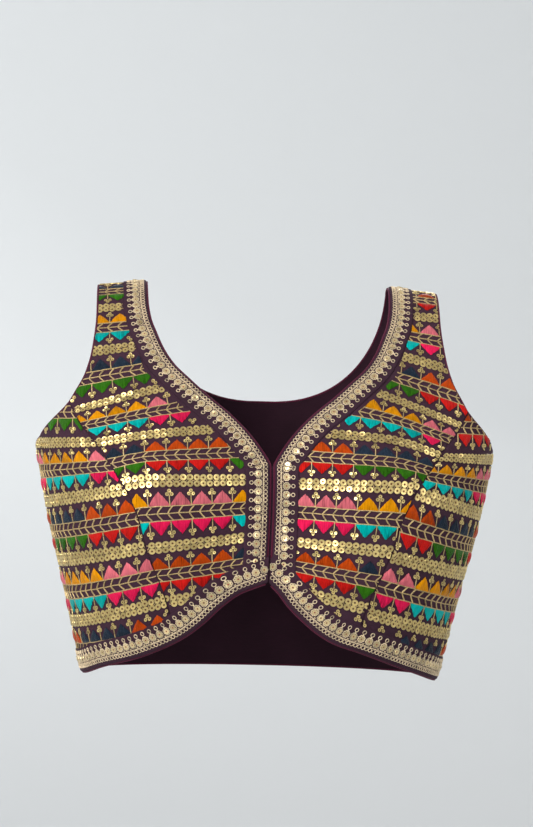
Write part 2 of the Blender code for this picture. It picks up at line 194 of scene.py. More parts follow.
def crease(side, angle, z, front):
    """How far the soft folds push the cloth out."""
    push = np.zeros(np.shape(angle))
    for fold_side, fold_front, at, height, tilt, length, width, size in CREASES:
        if fold_side == side and fold_front == front:
            across = (angle - np.radians(at)) * CREASE_RADIUS
            up = z - height
            turn = np.radians(tilt)
            along = across * np.cos(turn) + up * np.sin(turn)
            aside = up * np.cos(turn) - across * np.sin(turn)
            push += size * bell(along, length) * bell(aside, width)
    return push


def place(side, angle, z, front):
    """Points on the form, as an array with x, y and z last."""
    angle, z = np.broadcast_arrays(np.asarray(angle, float), np.asarray(z, float))
    x = x_of(angle, z, front)
    along = depth(z, front) * np.maximum(np.cos(angle), 0.0) ** (2 / squareness(z, front))
    side_line = -SIDE_LINE_FORWARD * np.clip(z / SIDE_LINE_HEIGHT, 0.0, 1.0)
    push = crease(side, angle, z, front)
    if front:
        cup = CUP_HEIGHT * bell(x - CUP_FROM_MIDDLE, CUP_WIDE) * bell(z - CUP_Z, CUP_TALL)
        hollow = HOLLOW_DEPTH * bell(x, HOLLOW_WIDE) * bell(z - HOLLOW_Z, HOLLOW_TALL)
        y = side_line - along - cup + hollow - GAP / 2 - push * np.cos(angle)
    else:
        y = side_line + along + GAP / 2 + push * np.cos(angle)
    fade = np.clip(1 + z / SHOULDER_FADE, 0.0, 1.0) ** 2
    fall = SHOULDER_FALL * (x - SHOULDER_MIDDLE) * fade
    lean = LEAN * bell(x, LEAN_WIDE) * bell(z - LEAN_Z, LEAN_TALL) * front
    return np.stack([SIDE_SIGN[side] * (x + push * np.sin(angle)) + lean, y, z - fall], axis=-1)


def surface(side, angle, z, front):
    """Points on the form and the outward directions there."""
    points = place(side, angle, z, front)
    turn = np.where(np.asarray(angle) > 1.0, -STEP, STEP)
    across = (place(side, angle + turn, z, front) - points) * np.sign(turn)[..., None]
    down = place(side, angle, z - STEP, front) - points
    outward = np.cross(down, across) * SIDE_SIGN[side] * (1 if front else -1)
    return points, outward / np.linalg.norm(outward, axis=-1, keepdims=True)


def surface_over(side, angle, z, front):
    """As surface, but heights above 0 on a front panel are as far down the back of the shoulder."""
    points, outward = surface(side, angle, np.minimum(z, 0.0), front)
    over = z > 0
    if front and over.any():
        x = x_of(angle[over], np.zeros(over.sum()), True)
        points[over], outward[over] = surface(side, angle_of(x, -z[over], False), -z[over], False)
    return points, outward


def hem(side, x):
    return smooth(HEM_X[side], HEM_HEIGHT[side], x)


def hem_at(side, angle):
    """The height of the front hem at each angle."""
    z = np.full_like(angle, CENTRE_HEM)
    for _ in range(8):
        z = hem(side, x_of(angle, z, True))
    return z


def band_top(side, x):
    """The upper edge of the hem band, its width away from the hem."""
    slope = (hem(side, x + HEM_REACH) - hem(side, np.maximum(x - HEM_REACH, 0.0))) / (2 * HEM_REACH)
    return hem(side, x) + BAND_WIDTH * np.sqrt(1 + np.minimum(slope**2, MOST_HEM_SLOPE))


def front_edge(z):
    """The neck edge and, below it, the centre front edge."""
    return np.maximum(smooth(NECK_HEIGHT, NECK_X, z), EDGE_FROM_MIDDLE)


def outer_edge(z):
    """The front armhole and, below it, the princess seam."""
    seam = smooth(PRINCESS_HEIGHT, PRINCESS_X, z)
    return np.where(z > PRINCESS_TOP, smooth(ARMHOLE_HEIGHT, ARMHOLE_X, z), seam)


def side_start(z):
    """The angle of a side panel's inner edge, along the princess seam."""
    return angle_of(outer_edge(np.minimum(z, PRINCESS_TOP)) + GAP / 2, z, True)


def band_edge(z):
    """The inner edge of the neck band, its width away from the neck edge."""
    slope = (front_edge(z + NECK_REACH) - front_edge(z - NECK_REACH)) / (2 * NECK_REACH)
    return front_edge(z) + BAND_WIDTH * np.sqrt(1 + slope**2)


def underarm(share):
    """The height of a side panel's top edge, at a share of the way to the side seam."""
    return smooth(UNDERARM_SHARE, UNDERARM_HEIGHT, share)


def back_armhole(z):
    """The angle of the back's armhole edge."""
    return np.radians(smooth(BACK_ARMHOLE_HEIGHT, BACK_ARMHOLE_ANGLE, np.maximum(z, UNDERARM)))


# ---- distances along the cloth
# They are taken at one angle, near the middle of a shoulder strap
PROFILE_ANGLE = 0.45
PROFILE_HEIGHTS = -0.372 * np.linspace(0, 1, 900) ** 2


def profile(front):
    """Distance down the cloth from the shoulder line at each of PROFILE_HEIGHTS."""
    points = place("L", np.full_like(PROFILE_HEIGHTS, PROFILE_ANGLE), PROFILE_HEIGHTS, front)
    below = PROFILE_HEIGHTS - np.maximum(PROFILE_HEIGHTS, FORM_HEIGHT[0])
    points[:, 2] = np.where(below < 0, PROFILE_HEIGHTS, points[:, 2])
    return distances(points[:, 1:])


PROFILES = {front: profile(front) for front in (True, False)}


def drop_at(z, front):
    return np.interp(-z, -PROFILE_HEIGHTS, PROFILES[front])


def height_at(drop, front):
    """The height that far down the cloth; above 0 where a front panel goes over the shoulder."""
    ahead = np.interp(drop, PROFILES[front], PROFILE_HEIGHTS)
    return np.where(drop < 0, -np.interp(-drop, PROFILES[False], PROFILE_HEIGHTS), ahead)


# ---- the rows of embroidery
# The repeat down the cloth and along it, and where across the repeat the triangles stand
ROW = 52 * MM
PITCH = 18.0 * MM
UPPER_BASE, LOWER_BASE = 20.0 * MM, 31.2 * MM
TRIANGLE_HEIGHT = 10.4 * MM
RAIL_MIDDLE = 0.5 * (UPPER_BASE + LOWER_BASE)
SEQUIN_PITCH = 5.65 * MM
SEQUIN_RADIUS = 2.82 * MM
SEQUIN_ROWS = (-2.65 * MM, 2.65 * MM)

# Heights of the middle lines of the bands of sequins, at three distances from the middle.
LINES_AT = {"centre": (0.05, 0.10, 0.15), "side": (0.12, 0.16, 0.20), "back": (0.05, 0.10, 0.15)}
CREST = float(height_at(drop_at(-0.0265, True) - ROW, True))
BACK_HEIGHTS = (-0.0105, -0.0535, -0.100, -0.151, -0.2017, -0.2573, -0.3133, -0.365)
BACK_LINES = [(z, z, z) for z in BACK_HEIGHTS]
LINES = {
    ("centre", "R"): [
        (CREST, CREST, CREST), (-0.0220, -0.0225, -0.0240), (-0.0520, -0.0577, -0.0630),
        (-0.0840, -0.0972, -0.1105), (-0.1287, -0.1340, -0.1435), (-0.1710, -0.1725, -0.1870),
        (-0.2225, -0.2295, -0.2365), (-0.2680, -0.2770, -0.2860), (-0.3180, -0.3290, -0.3400),
    ],
    ("centre", "L"): [
        (CREST, CREST, CREST), (-0.0250, -0.0250, -0.0250), (-0.0480, -0.0590, -0.0700),
        (-0.0830, -0.0980, -0.1150), (-0.1300, -0.1335, -0.1480), (-0.1725, -0.1730, -0.1800),
        (-0.2235, -0.2275, -0.2325), (-0.2690, -0.2810, -0.2930), (-0.3190, -0.3330, -0.3470),
    ],
    ("side", "R"): [
        (-0.0920, -0.0920, -0.0925), (-0.1410, -0.1425, -0.1445), (-0.1805, -0.1890, -0.1985),
        (-0.2330, -0.2425, -0.2520), (-0.2860, -0.2990, -0.3120), (-0.3380, -0.3510, -0.3640),
    ],
    ("side", "L"): [
        (-0.0970, -0.0970, -0.0975), (-0.1465, -0.1480, -0.1495), (-0.1780, -0.1905, -0.2025),
        (-0.2365, -0.2470, -0.2570), (-0.2915, -0.3035, -0.3160), (-0.3435, -0.3555, -0.3680),
    ],
    ("back", "R"): BACK_LINES,
    ("back", "L"): BACK_LINES,
}

# For each row: its pair of colourways, and a place where it changes, as the distance from the
# middle and the colourway that runs outward from there.
ROWS = {
    ("centre", "R"): ["B1:.1246", "A1:.1215", "B1:.1009", "A1:.1041", "B0:.0360", "A0:.0329", "B0:.0305",
                      "A0:.0300"],
    ("centre", "L"): ["B0:.1318", "A0:.1318", "B0:.1294", "A0:.1294", "B1:.0692", "A1:.0716", "B1:.0740",
                      "A1:.0740"],
    ("side", "R"): ["B0:.1911", "A1:.1523", "B1:.1531", "A1:.1365", "B1:.1120"],
    ("side", "L"): ["B0:.1618", "A0:.1784", "B1:.1397", "A1:.1230", "B1:.1096"],
    ("back", "R"): ["B0:0", "A1:0", "B0:0", "A0:0", "B1:0", "A0:0", "B1:0"],
    ("back", "L"): ["B1:0", "A0:0", "B1:0", "A1:0", "B0:0", "A1:0", "B0:0"],
}
UPPER_COLOURS = {"A": ("pink", "mustard"), "B": ("orange", "navy")}
LOWER_COLOURS = {"A": ("magenta", "turquoise"), "B": ("red", "green")}
SATINS = ["pink", "mustard", "magenta", "turquoise", "orange", "navy", "red", "green"]
# Triangles of one colour before the other colour of the pair follows
GROUP = 4


def line_height(part, side, number, x):
    """The height of a line at each distance from the middle; straight beyond its measured places."""
    at, heights = LINES_AT[part], LINES[part, side][number]
    slopes = np.diff(heights) / np.diff(at)
    before, after = np.minimum(x - at[0], 0.0), np.maximum(x - at[-1], 0.0)
    return smooth(at, heights, x) + slopes[0] * before + slopes[-1] * after


class Row:
    """One repeat of the embroidery on one panel: from (s, v) in metres to a place on the form."""

    SHARES = np.linspace(0, 1, 500)
    ANGLES = eased_turn(SHARES)

    def __init__(self, part, side, number):
        self.part, self.side, self.front = part, side, part != "back"
        x = x_of(self.ANGLES, np.full_like(self.ANGLES, LINES[part, side][number][1]), self.front)
        for _ in range(4):
            upper, lower = (line_height(part, side, number + i, x) for i in (0, 1))
            middle = 0.5 * (upper + lower)
            x = x_of(self.ANGLES, middle, self.front)
        self.along = distances(place(side, self.ANGLES, middle, self.front))
        self.x = x
        self.upper = drop_at(line_height(part, side, number, x), self.front)
        self.lower = drop_at(line_height(part, side, number + 1, x), self.front)

    def length_to(self, x):
        return np.interp(x, self.x, self.along)

    def locate(self, s, v):
        """The angle and height of each place."""
        angle = np.interp(s, self.along, self.ANGLES)
        upper = np.interp(s, self.along, self.upper)
        lower = np.interp(s, self.along, self.lower)
        return angle, height_at(upper + (lower - upper) * v / ROW, self.front)

    def inside(self, s, v):
        """Whether each place is on the panel."""
        return inside(self.part, self.side, *self.locate(s, v))

    def place(self, s, v, h):
        """Places at (s, v) and h out, pulled back onto the panel, and whether each had to move."""
        angle, z, pulled = clamped(self.part, self.side, *self.locate(s, v))
        points, outward = surface_over(self.side, angle, z, self.front)
        return points + outward * h[..., None], outward, pulled


# How far embroidery stays inside an edge, or reaches under a lace band; at the back armhole, in radians
SEAM_MARGIN, UNDER_BAND, ARMHOLE_MARGIN = 0.5 * MM, 0.5 * MM, 0.004


def limits(part, side, z):
    """The least and greatest angle that the embroidery of a panel reaches at each height."""
    z = np.minimum(z, 0.0)
    if part == "centre":
        low = angle_of(band_edge(z) - UNDER_BAND, z, True)
        return low, angle_of(outer_edge(z) - SEAM_MARGIN, z, True)
    if part == "side":
        low = angle_of(outer_edge(np.minimum(z, PRINCESS_TOP)) + SEAM_MARGIN, z, True)
        return low, np.full_like(z, RIGHT_ANGLE)
    down = np.clip((z - SHOULDER_SEAM) / (BACK_NECK_BOTTOM - SHOULDER_SEAM), 0.0, 1.0)
    neck = BACK_NECK_HALF_WIDTH * (1 - down**2) ** 0.4 + 2 * SEAM_MARGIN * (down < 1)
    arm = back_armhole(z) - ARMHOLE_MARGIN
    return angle_of(neck, z, False), np.where(z < UNDERARM, RIGHT_ANGLE, arm)


def bottom(part, side, angle, z):
    """The lowest height that the embroidery reaches."""
    if part == "back":
        return np.full_like(z, BACK_HEM + SEAM_MARGIN)
    return band_top(side, x_of(angle, np.minimum(z, 0.0), True)) - UNDER_BAND


def top(part, side, angle, z):
    """The greatest height that it reaches."""
    if part == "side":
        share = np.clip((angle - side_start(z)) / (RIGHT_ANGLE - side_start(z)), 0.0, 1.0)
        return underarm(share) - SEAM_MARGIN
    return np.full_like(z, SHOULDER_SEAM if part == "back" else -SHOULDER_SEAM)


def inside(part, side, angle, z):
    """Whether each place is on its panel."""
    low, high = limits(part, side, z)
    level = (z > bottom(part, side, angle, z)) & (z < top(part, side, angle, z))
    return (angle > low) & (angle < high) & level


def clamped(part, side, angle, z):
    """Places pulled back onto their panel, and whether each had to move."""
    new_z = np.clip(z, bottom(part, side, angle, z), top(part, side, angle, z))
    low, high = limits(part, side, new_z)
    new_angle = np.clip(angle, low, high)
    moved = (np.abs(new_z - z) > STEP) | (np.abs(new_angle - angle) > STEP)
    return new_angle, new_z, moved


def linked(name, data):
    """A new object in the scene."""
    made = bpy.data.objects.new(name, data)
    bpy.context.scene.collection.objects.link(made)
    return made


# ---- stitched elements, flat
# The greatest share of a cut shape's points that an edge may take before the rest is left out too
MOST_CUT = 0.65
# A thread's section: shares of its half width, and of its height
THREAD_SECTION = ((-1.0, 0.0), (-0.6, 0.8), (0.6, 0.8), (1.0, 0.0))


def quads(rows, columns):
    """The faces of a grid of points."""
    index = np.arange(rows * columns).reshape(rows, columns)
    return np.stack([index[:-1, :-1], index[1:, :-1], index[1:, 1:], index[:-1, 1:]], -1).reshape(-1, 4)


def disc(radii, heights, sides):
    """Rings joined into a round shape, from its hole outward."""
    turn = np.arange(sides) * 2 * np.pi / sides
    rings = [
        np.stack([r * np.cos(turn), r * np.sin(turn), np.full(sides, h)], 1)
        for r, h in zip(radii, heights)
    ]
    corner, ring = np.meshgrid(np.arange(sides), np.arange(len(radii) - 1) * sides)
    after = (corner + 1) % sides
    faces = np.stack([ring + corner, ring + sides + corner, ring + sides + after, ring + after], -1)
    return np.concatenate(rings), faces.reshape(-1, 4)


def strip(path, width, height, lift=0.0):
    """A raised thread along a path of (s, v): low at both edges and high in the middle."""
    path = np.asarray(path, float)
    run = np.gradient(path, axis=0)
    across = np.stack([-run[:, 1], run[:, 0]], 1)
    across /= np.linalg.norm(across, axis=1, keepdims=True)
    rows = [
        np.column_stack([path + across * offset * width / 2, np.full(len(path), lift + rise * height)])
        for offset, rise in THREAD_SECTION
    ]
    return np.stack(rows, 1).reshape(-1, 3), quads(len(path), len(rows))


def merged(*parts):
    """Several (points, faces) as one."""
    points, faces, count = [], [], 0
    for some_points, some_faces in parts:
        points.append(some_points)
        faces.append(some_faces + count)
        count += len(some_points)
    return np.concatenate(points), np.concatenate(faces)


# How far satin swells out, the grid of one triangle, and how ragged its stitches' ends are
SATIN_PUFF = 1.25 * MM
SATIN_COLUMNS, SATIN_STEPS = 23, 5
SATIN_RAGGED = (-0.2 * MM, 0.7 * MM)


def satin_triangle(direction):
    """A padded triangle of upright threads, its base at v = 0 and its tip at direction * height."""
    u, t = np.linspace(-1, 1, SATIN_COLUMNS), np.linspace(0, 1, SATIN_STEPS)
    ends = RNG.uniform(*SATIN_RAGGED, len(u))
    swell = RNG.uniform(0.85, 1.1, len(u)) * np.minimum(1.0, 1.6 * (1 - np.abs(u)) + 0.12)
    tall = np.maximum(TRIANGLE_HEIGHT * (1 - np.abs(u) ** 1.10) ** 0.90 + ends, 0.3 * MM)
    puff = np.sin(np.pi * np.clip(t, 0.05, 0.95)) ** 0.6
    heights = 0.15 * MM + SATIN_PUFF * swell[:, None] * puff
    across = np.broadcast_to((0.985 * PITCH / 2 * u)[:, None], heights.shape)
    points = np.stack([across, direction * tall[:, None] * t, heights], -1)
    return points.reshape(-1, 3), quads(len(u), len(t))


TRIANGLE_KINDS = 5
TRIANGLES = {way: [satin_triangle(way) for _ in range(TRIANGLE_KINDS)] for way in (-1, 1)}

SEQUIN_SIDES = 12
# Sends the two inner rings of a sequin to the dark end of its colour ramp, where the knot is
KNOT_TONE = np.repeat([-2.0, -2.0, 0.0, 0.0, 0.0, 0.0], SEQUIN_SIDES)


def sequin(radius):
    """A flat sequin with a knot of thread in its hole: knot, hole, face, rim and underside."""
    radii = np.array([0.04, 0.27, 0.34, 0.62, 0.94, 1.0]) * radius
    heights = np.array([0.34, 0.22, 0.46, 0.42, 0.56, 0.20]) * MM
    return disc(radii, heights, SEQUIN_SIDES)


RING_SIDES = 10


def thread_ring(radius, thread):
    """A loop of couched thread."""
    inner = radius - thread
    radii = [inner, inner + 0.25 * thread, radius - 0.25 * thread, radius]
    heights = [0.05 * MM, 0.95 * thread, 0.95 * thread, 0.05 * MM]
    return disc(radii, heights, RING_SIDES)


# The trefoil: the radius of its sequins, its stalk, and where they sit beside and beyond its end
LEAF = 1.6 * MM
SMALL_SEQUIN = sequin(LEAF)
STALK = 8.4 * MM
LEAVES = ((-1.85 * MM, 0.9 * MM), (1.85 * MM, 0.9 * MM), (0.0, 3.5 * MM))

# The couching thread that runs from one sequin to the next
BRIDGE = strip([(-1.3 * MM, 0.0), (0.0, 0.15 * MM), (1.3 * MM, 0.0)], 0.75 * MM, 0.55 * MM, 0.2 * MM)

CHEVRON_LEAN, CHEVRON_REACH = 4.2 * MM, 5.3 * MM


def chevron(direction):
    """Half of a '<' between two rails: a curved stroke from the middle to one rail."""
    t = np.linspace(0, 1, 5)
    path = np.stack([CHEVRON_LEAN * t**1.3, direction * CHEVRON_REACH * t], 1)
    return strip(path, 1.2 * MM, 0.8 * MM, 0.1 * MM)


# ---- meshes from stamped elements
class Stitching:
    """Collects stamped elements of one panel, then makes one mesh of them."""

    def __init__(self):
        self.points, self.faces, self.coords, self.vary, self.slots = [], [], [], [], []
        self.count = 0

    def add(self, points, faces, coords, vary, slot=0):
        self.points.append(points)
        self.faces.append(faces + self.count)
        self.coords.append(coords)
        self.vary.append(vary)
        self.slots.append(np.broadcast_to(slot, len(faces)))
        self.count += len(points)

    def mesh(self, name, materials, smooth_angle=50.0):
        faces = np.concatenate(self.faces)
        used, faces = np.unique(faces.ravel(), return_inverse=True)
        faces = faces.reshape(-1, self.faces[0].shape[1])
        mesh = bpy.data.meshes.new(name)
        mesh.vertices.add(len(used))
        mesh.vertices.foreach_set("co", np.concatenate(self.points)[used].ravel())
        mesh.loops.add(faces.size)
        mesh.loops.foreach_set("vertex_index", faces.ravel())
        mesh.polygons.add(len(faces))
        mesh.polygons.foreach_set("loop_start", np.arange(len(faces)) * faces.shape[1])
        mesh.polygons.foreach_set("material_index", np.concatenate(self.slots).astype(np.int32))
        uv = mesh.uv_layers.new(name="fabric")
        uv.data.foreach_set("uv", np.concatenate(self.coords)[used][faces.ravel()].ravel())
        vary = mesh.attributes.new("vary", "FLOAT", "POINT")
        vary.data.foreach_set("value", np.concatenate(self.vary)[used])
        mesh.update(calc_edges=True)
        mesh.validate()
        for material in materials:
            mesh.materials.append(material)
        mesh.shade_smooth()
        mesh.set_sharp_from_angle(angle=np.radians(smooth_angle))
        return linked(name, mesh)


def faces_out(points, outward, faces):
    """Whether most of the faces face outward."""
    a, b, c = (points[faces[:, i]] for i in range(3))
    normals = np.cross(b - a, c - a)
    towards = np.sum(normals * outward[faces[:, 0]], axis=1)
    return np.sum(np.sign(towards)) > 0


def facing(points, outward, faces):
    return faces if faces_out(points, outward, faces) else faces[:, ::-1]


# The least height above the cloth of any point of a tilted copy
LEAST_LIFT = 0.04 * MM


def copied(shape_points, count, turn, tilt):
    """Copies of a shape, each turned, and tilted at random."""
    copies = np.repeat(shape_points[None], count, axis=0)
    if turn is not None:
        cos, sin = np.cos(turn)[:, None], np.sin(turn)[:, None]
        across, up, out = np.moveaxis(copies, -1, 0)
        copies = np.stack([across * cos - up * sin, across * sin + up * cos, out], -1)
    if tilt:
        lean = RNG.normal(0, tilt, (count, 2, 1))
        lifted = copies[..., 2] + copies[..., 0] * lean[:, 0] + copies[..., 1] * lean[:, 1]
        copies[..., 2] = np.maximum(lifted, LEAST_LIFT)
    return copies


def repeated(faces, starts):
    """The faces of copies whose points start at the given counts."""
    return (faces[None] + starts[:, None, None]).reshape(-1, faces.shape[1])


def add_copies(stitching, path, shape, s, v, h=0.0, flip=1.0, slots=0, tilt=0.0, turn=None,
               tone=0.0, most_cut=1.0, most_corners=2):
    """Adds copies of a shape at (s, v, h) on a row or band, less what its edges cut away.

    A copy goes if more than most_cut of its points are off, and a face if more than most_corners."""
    base, faces = shape
    copies = copied(base, len(s), turn, tilt)
    flat = np.stack([s[:, None] + flip * copies[..., 0], v[:, None] + copies[..., 1]], -1).reshape(-1, 2)
    points, outward, pulled = path.place(flat[:, 0], flat[:, 1], copies[..., 2].ravel() + h)
    mostly_on = pulled.reshape(len(s), -1).mean(axis=1) <= most_cut
    all_faces = repeated(faces, np.arange(len(s)) * len(base))
    whole = np.repeat(mostly_on, len(faces)) & (pulled[all_faces].sum(axis=1) <= most_corners)
    vary = (RNG.random(len(s))[:, None] + np.broadcast_to(tone, len(base))).ravel()
    if whole.any():
        all_slots = np.repeat(np.broadcast_to(slots, len(s)), len(faces))
        stitching.add(points, facing(points, outward, all_faces[whole]), flat, vary, all_slots[whole])


def stamp(stitching, row, shape, s, v, slot=0, turn=None, cut=False, **style):
    """Places copies of a shape at (s, v) on a row of a panel. With cut, edges cut through them."""
    s, v = np.broadcast_arrays(np.asarray(s, float), v)
    on = row.inside(s, v) | cut
    if on.any():
        slots = np.broadcast_to(slot, s.shape)[on]
        turn = None if turn is None else turn[on]
        most_cut = MOST_CUT if cut else 1.0
        add_copies(stitching, row, shape, s[on], v[on], slots=slots, turn=turn, most_cut=most_cut, **style)


# A rail's points are this far apart, and it wavers this much over this length
RAIL_STEP, RAIL_WOBBLE, RAIL_WAVE = 2.2 * MM, 0.12 * MM, 2.6 * MM


def phase_of(row, code):
    """Where a group of the first colourway starts, as a distance along the row."""
    first, x = code[1:].split(":")
    start = row.length_to(float(x))
    return start if first == "0" else start + GROUP * PITCH


def embroider(part, side, satin, sequins, threads):
    """All the rows of one panel, or of half the back."""
    codes = ROWS[part, side]
    away = SIDE_SIGN[side] if part != "back" else -SIDE_SIGN[side]
    for number, code in enumerate(codes):
        row = Row(part, side, number)
        start = phase_of(row, code)
        middles = triangles(row, code[0], start, satin)
        valleys = np.concatenate([middles - PITCH / 2, middles[-1:] + PITCH / 2])
        for direction in (-1, 1):
            trefoils(row, valleys, direction, sequins, threads)
        chevrons(row, start % (PITCH / 2), away, threads)
        for v in (UPPER_BASE, RAIL_MIDDLE, LOWER_BASE):
            rail(row, v, threads)
        sequin_band(row, 0.0, sequins, threads)
    sequin_band(row, ROW, sequins, threads)


def triangles(row, code, start, satin):
    """The satin triangles above and below the rails; gives their middles along the row."""
    index = np.arange(int(-start / PITCH) - 2, int((row.along[-1] - start) / PITCH) + 2)
    middles = start + (index + 0.5) * PITCH
    valid = (middles > -PITCH / 2) & (middles < row.along[-1] + PITCH / 2)
    index, middles = index[valid], middles[valid]
    second = np.floor_divide(index, GROUP) % 2
    for direction, base, names in ((-1, UPPER_BASE, UPPER_COLOURS), (1, LOWER_BASE, LOWER_COLOURS)):
        colours = np.array([SATINS.index(name) for name in names[code]])[second]
        kinds = RNG.integers(0, len(TRIANGLES[direction]), len(middles))
        for kind, triangle in enumerate(TRIANGLES[direction]):
            chosen = kinds == kind
            stamp(satin, row, triangle, middles[chosen], base + direction * 0.3 * MM,
                  slot=colours[chosen], cut=True)
    return middles


def chevrons(row, first, away, threads):
    """The arrowheads between the rails, pointing the same way round the body."""
    steps = np.arange(-2, int(row.along[-1] / (PITCH / 2)) + 2)
    s = first + steps * PITCH / 2 - away * CHEVRON_LEAN / 2
    for direction in (-1, 1):
        stamp(threads, row, chevron(direction), s, RAIL_MIDDLE, flip=away,
              turn=RNG.normal(0, 0.05, len(s)), cut=True)


def sequin_band(row, middle, sequins, threads):
    """Two lines of touching sequins, couched to each other, on either side of a middle line."""
    for offset in SEQUIN_ROWS:
        s = np.arange(0.5 * SEQUIN_PITCH, row.along[-1], SEQUIN_PITCH) + RNG.normal(0, 0.12 * MM)
        jitter = RNG.normal(0, 0.10 * MM, (2, len(s)))
        stamp(sequins, row, sequin(SEQUIN_RADIUS), s + jitter[0], middle + offset + jitter[1],
              tilt=0.08, turn=RNG.random(len(s)), tone=KNOT_TONE)
        between = s + 0.5 * SEQUIN_PITCH
        stamp(threads, row, BRIDGE, between, middle + offset, turn=RNG.normal(0, 0.5, len(s)))
    stamp(threads, row, BRIDGE, s + 0.5 * SEQUIN_PITCH, middle, turn=RNG.normal(RIGHT_ANGLE, 0.6, len(s)))


def trefoils(row, valleys, direction, sequins, threads):
    """Three small sequins at the end of a stalk, in each valley between two triangles."""
    base = UPPER_BASE if direction < 0 else LOWER_BASE
    path = [(0, 0), (0.1 * MM, direction * STALK / 2), (0, direction * STALK)]
    stamp(threads, row, strip(path, 0.9 * MM, 0.6 * MM, 0.2 * MM), valleys, base)
    for across, along in LEAVES:
        stamp(sequins, row, SMALL_SEQUIN, valleys + across, base + direction * (STALK + along),
              tilt=0.12, turn=RNG.random(len(valleys)), tone=KNOT_TONE)


def rail(row, v, threads):
    """A thin couched line along the row, kept to its panel."""
    length = row.along[-1]
    s = np.linspace(0.0, length, int(length / RAIL_STEP))
    path = np.stack([s, v + RAIL_WOBBLE * np.sin(s * 2 * np.pi / RAIL_WAVE)], 1)
    on = row.inside(path[:, 0], path[:, 1])
    on = np.flatnonzero(on | np.roll(on, 1) | np.roll(on, -1))
    for run in np.split(on, np.flatnonzero(np.diff(on) > 1) + 1):
        if len(run) > 2:
            flat, faces = strip(path[run], 0.95 * MM, 0.65 * MM, 0.1 * MM)
            points, outward, _ = row.place(*flat.T)
            threads.add(points, facing(points, outward, faces), flat[:, :2], RNG.random(len(points)))


# ---- cloth shells
class Shell(Stitching):
    """A closed wall of cloth, its edges rounded over, from grids of places on the form."""

    def grid(self, points, outward, low, high, dip=0.0):
        rows, columns = points.shape[:2]
        count = rows * columns
        drop = np.broadcast_to(dip, (rows, columns))[..., None]
        layers = [(points + outward * (level - drop)).reshape(-1, 3) for level in (high, low)]
        index = np.arange(count).reshape(rows, columns)
        cells = quads(rows, columns)
        rim = np.concatenate([index[0, :], index[1:, -1], index[-1, -2::-1], index[-2:0:-1, 0]])
        after = np.roll(rim, -1)
        sides = np.stack([rim, after, after + count, rim + count], 1)
        both = np.concatenate(layers)
        faces = np.concatenate([cells, cells[:, ::-1] + count, sides])
        if not faces_out(layers[0], outward.reshape(-1, 3), cells):
            faces = faces[:, ::-1]
        slots = np.repeat([0, 1, 0], [len(cells), len(cells), len(sides)])
        uv = np.concatenate([flat_coords(points).reshape(-1, 2)] * 2)
        self.add(both, faces, uv, np.full(len(both), 0.5), slots)


def flat_coords(points):
    """Distances along and down a grid, for the weave."""
    along = np.linalg.norm(np.diff(points, axis=1), axis=-1)
    down = np.linalg.norm(np.diff(points, axis=0), axis=-1)
    s = np.pad(np.cumsum(along, axis=1), ((0, 0), (1, 0)))
    v = np.pad(np.cumsum(down, axis=0), ((1, 0), (0, 0)))
    return np.stack([s, v], -1)


def eased(count, edge_steps=(0.0, 0.0018, 0.0045, 0.010)):
    """Shares from 0 to 1 with a few close to each end, for rounded edges."""
    inner = np.linspace(edge_steps[-1], 1 - edge_steps[-1], count)
    return np.concatenate([edge_steps[:-1], inner, 1 - np.array(edge_steps[-2::-1])])


# How wide the dip beside a seam is, as a share of its panel
SEAM_WIDE = 0.006


def seam_dip(shares, size, both=False):
    """How far the cloth sinks next to a seam at the far end of a grid, or at both ends."""
    return size * (bell(shares, SEAM_WIDE) * both + bell(1 - shares, SEAM_WIDE))


def centre_x(z, shares):
    """Distances from the middle at shares of the way across a front centre panel."""
    return front_edge(z) + (outer_edge(z) - GAP / 2 - front_edge(z)) * shares


# Shares of the way from the shoulder line back to the shoulder seam
OVER_STEPS = np.array([1.0, 0.6, 0.3, 0.1, 0.02])


def centre_shell(side, name):
    """A front centre panel, from the shoulder seam to the hem."""
    shares = eased(46, (0.0, 0.004, 0.010, 0.022))
    feet = EDGE_FROM_MIDDLE + (PRINCESS_X[1] - EDGE_FROM_MIDDLE) * shares
    drops = np.linspace(0, 1, 150) ** 1.25
    z = drops[:, None] * hem(side, feet)
    points, outward = surface(side, angle_of(centre_x(z, shares), z, True), z, True)
    wrap_z = SHOULDER_SEAM * OVER_STEPS[:, None] + 0 * feet
    over, over_out = surface(side, angle_of(centre_x(wrap_z, shares), wrap_z, False), wrap_z, False)
    over[..., 1] -= GAP
    points, outward = np.concatenate([over, points]), np.concatenate([over_out, outward])
    shell = Shell()
    below = np.concatenate([wrap_z, z])[:, :1] < PRINCESS_TOP
    dip = seam_dip(shares, 0.75 * MM)[None, :] * below
    shell.grid(points, outward, -WALL, 0.0, dip)
    if side == "L":
        underlap(shell)
    return shell.mesh(name, [CLOTH, LINING])


def side_shell(side, name):
    """A front side panel, with the turnings of its side seam."""
    shares = eased(56, (0.0, 0.003, 0.008, 0.016))

    def angles(z):
        return side_start(z) + (RIGHT_ANGLE - side_start(z)) * shares

    top_z = underarm(shares)
    foot_z = np.full_like(shares, BACK_HEM)
    feet = x_of(angles(foot_z), foot_z, True)
    feet[0] = PRINCESS_X[1]
    z = top_z + eased(80)[:, None] * (hem(side, feet) - top_z)
    points, outward = surface(side, angles(z), z, True)
    shell = Shell()
    shell.grid(points, outward, -WALL, 0.0, seam_dip(shares, 0.6 * MM, both=True))
    seam_allowance(shell, side)
    return shell.mesh(name, [CLOTH, LINING])


# The turnings pressed open behind a seam: how far they reach to each side of it, and where they
# lie behind the cloth's outer face
TURNING_REACH = np.array([7.0, 4.0, 1.5, 0.0]) * MM
TURNING_BACK, TURNING_FRONT = -WALL - 0.8 * MM, -WALL - 0.1 * MM


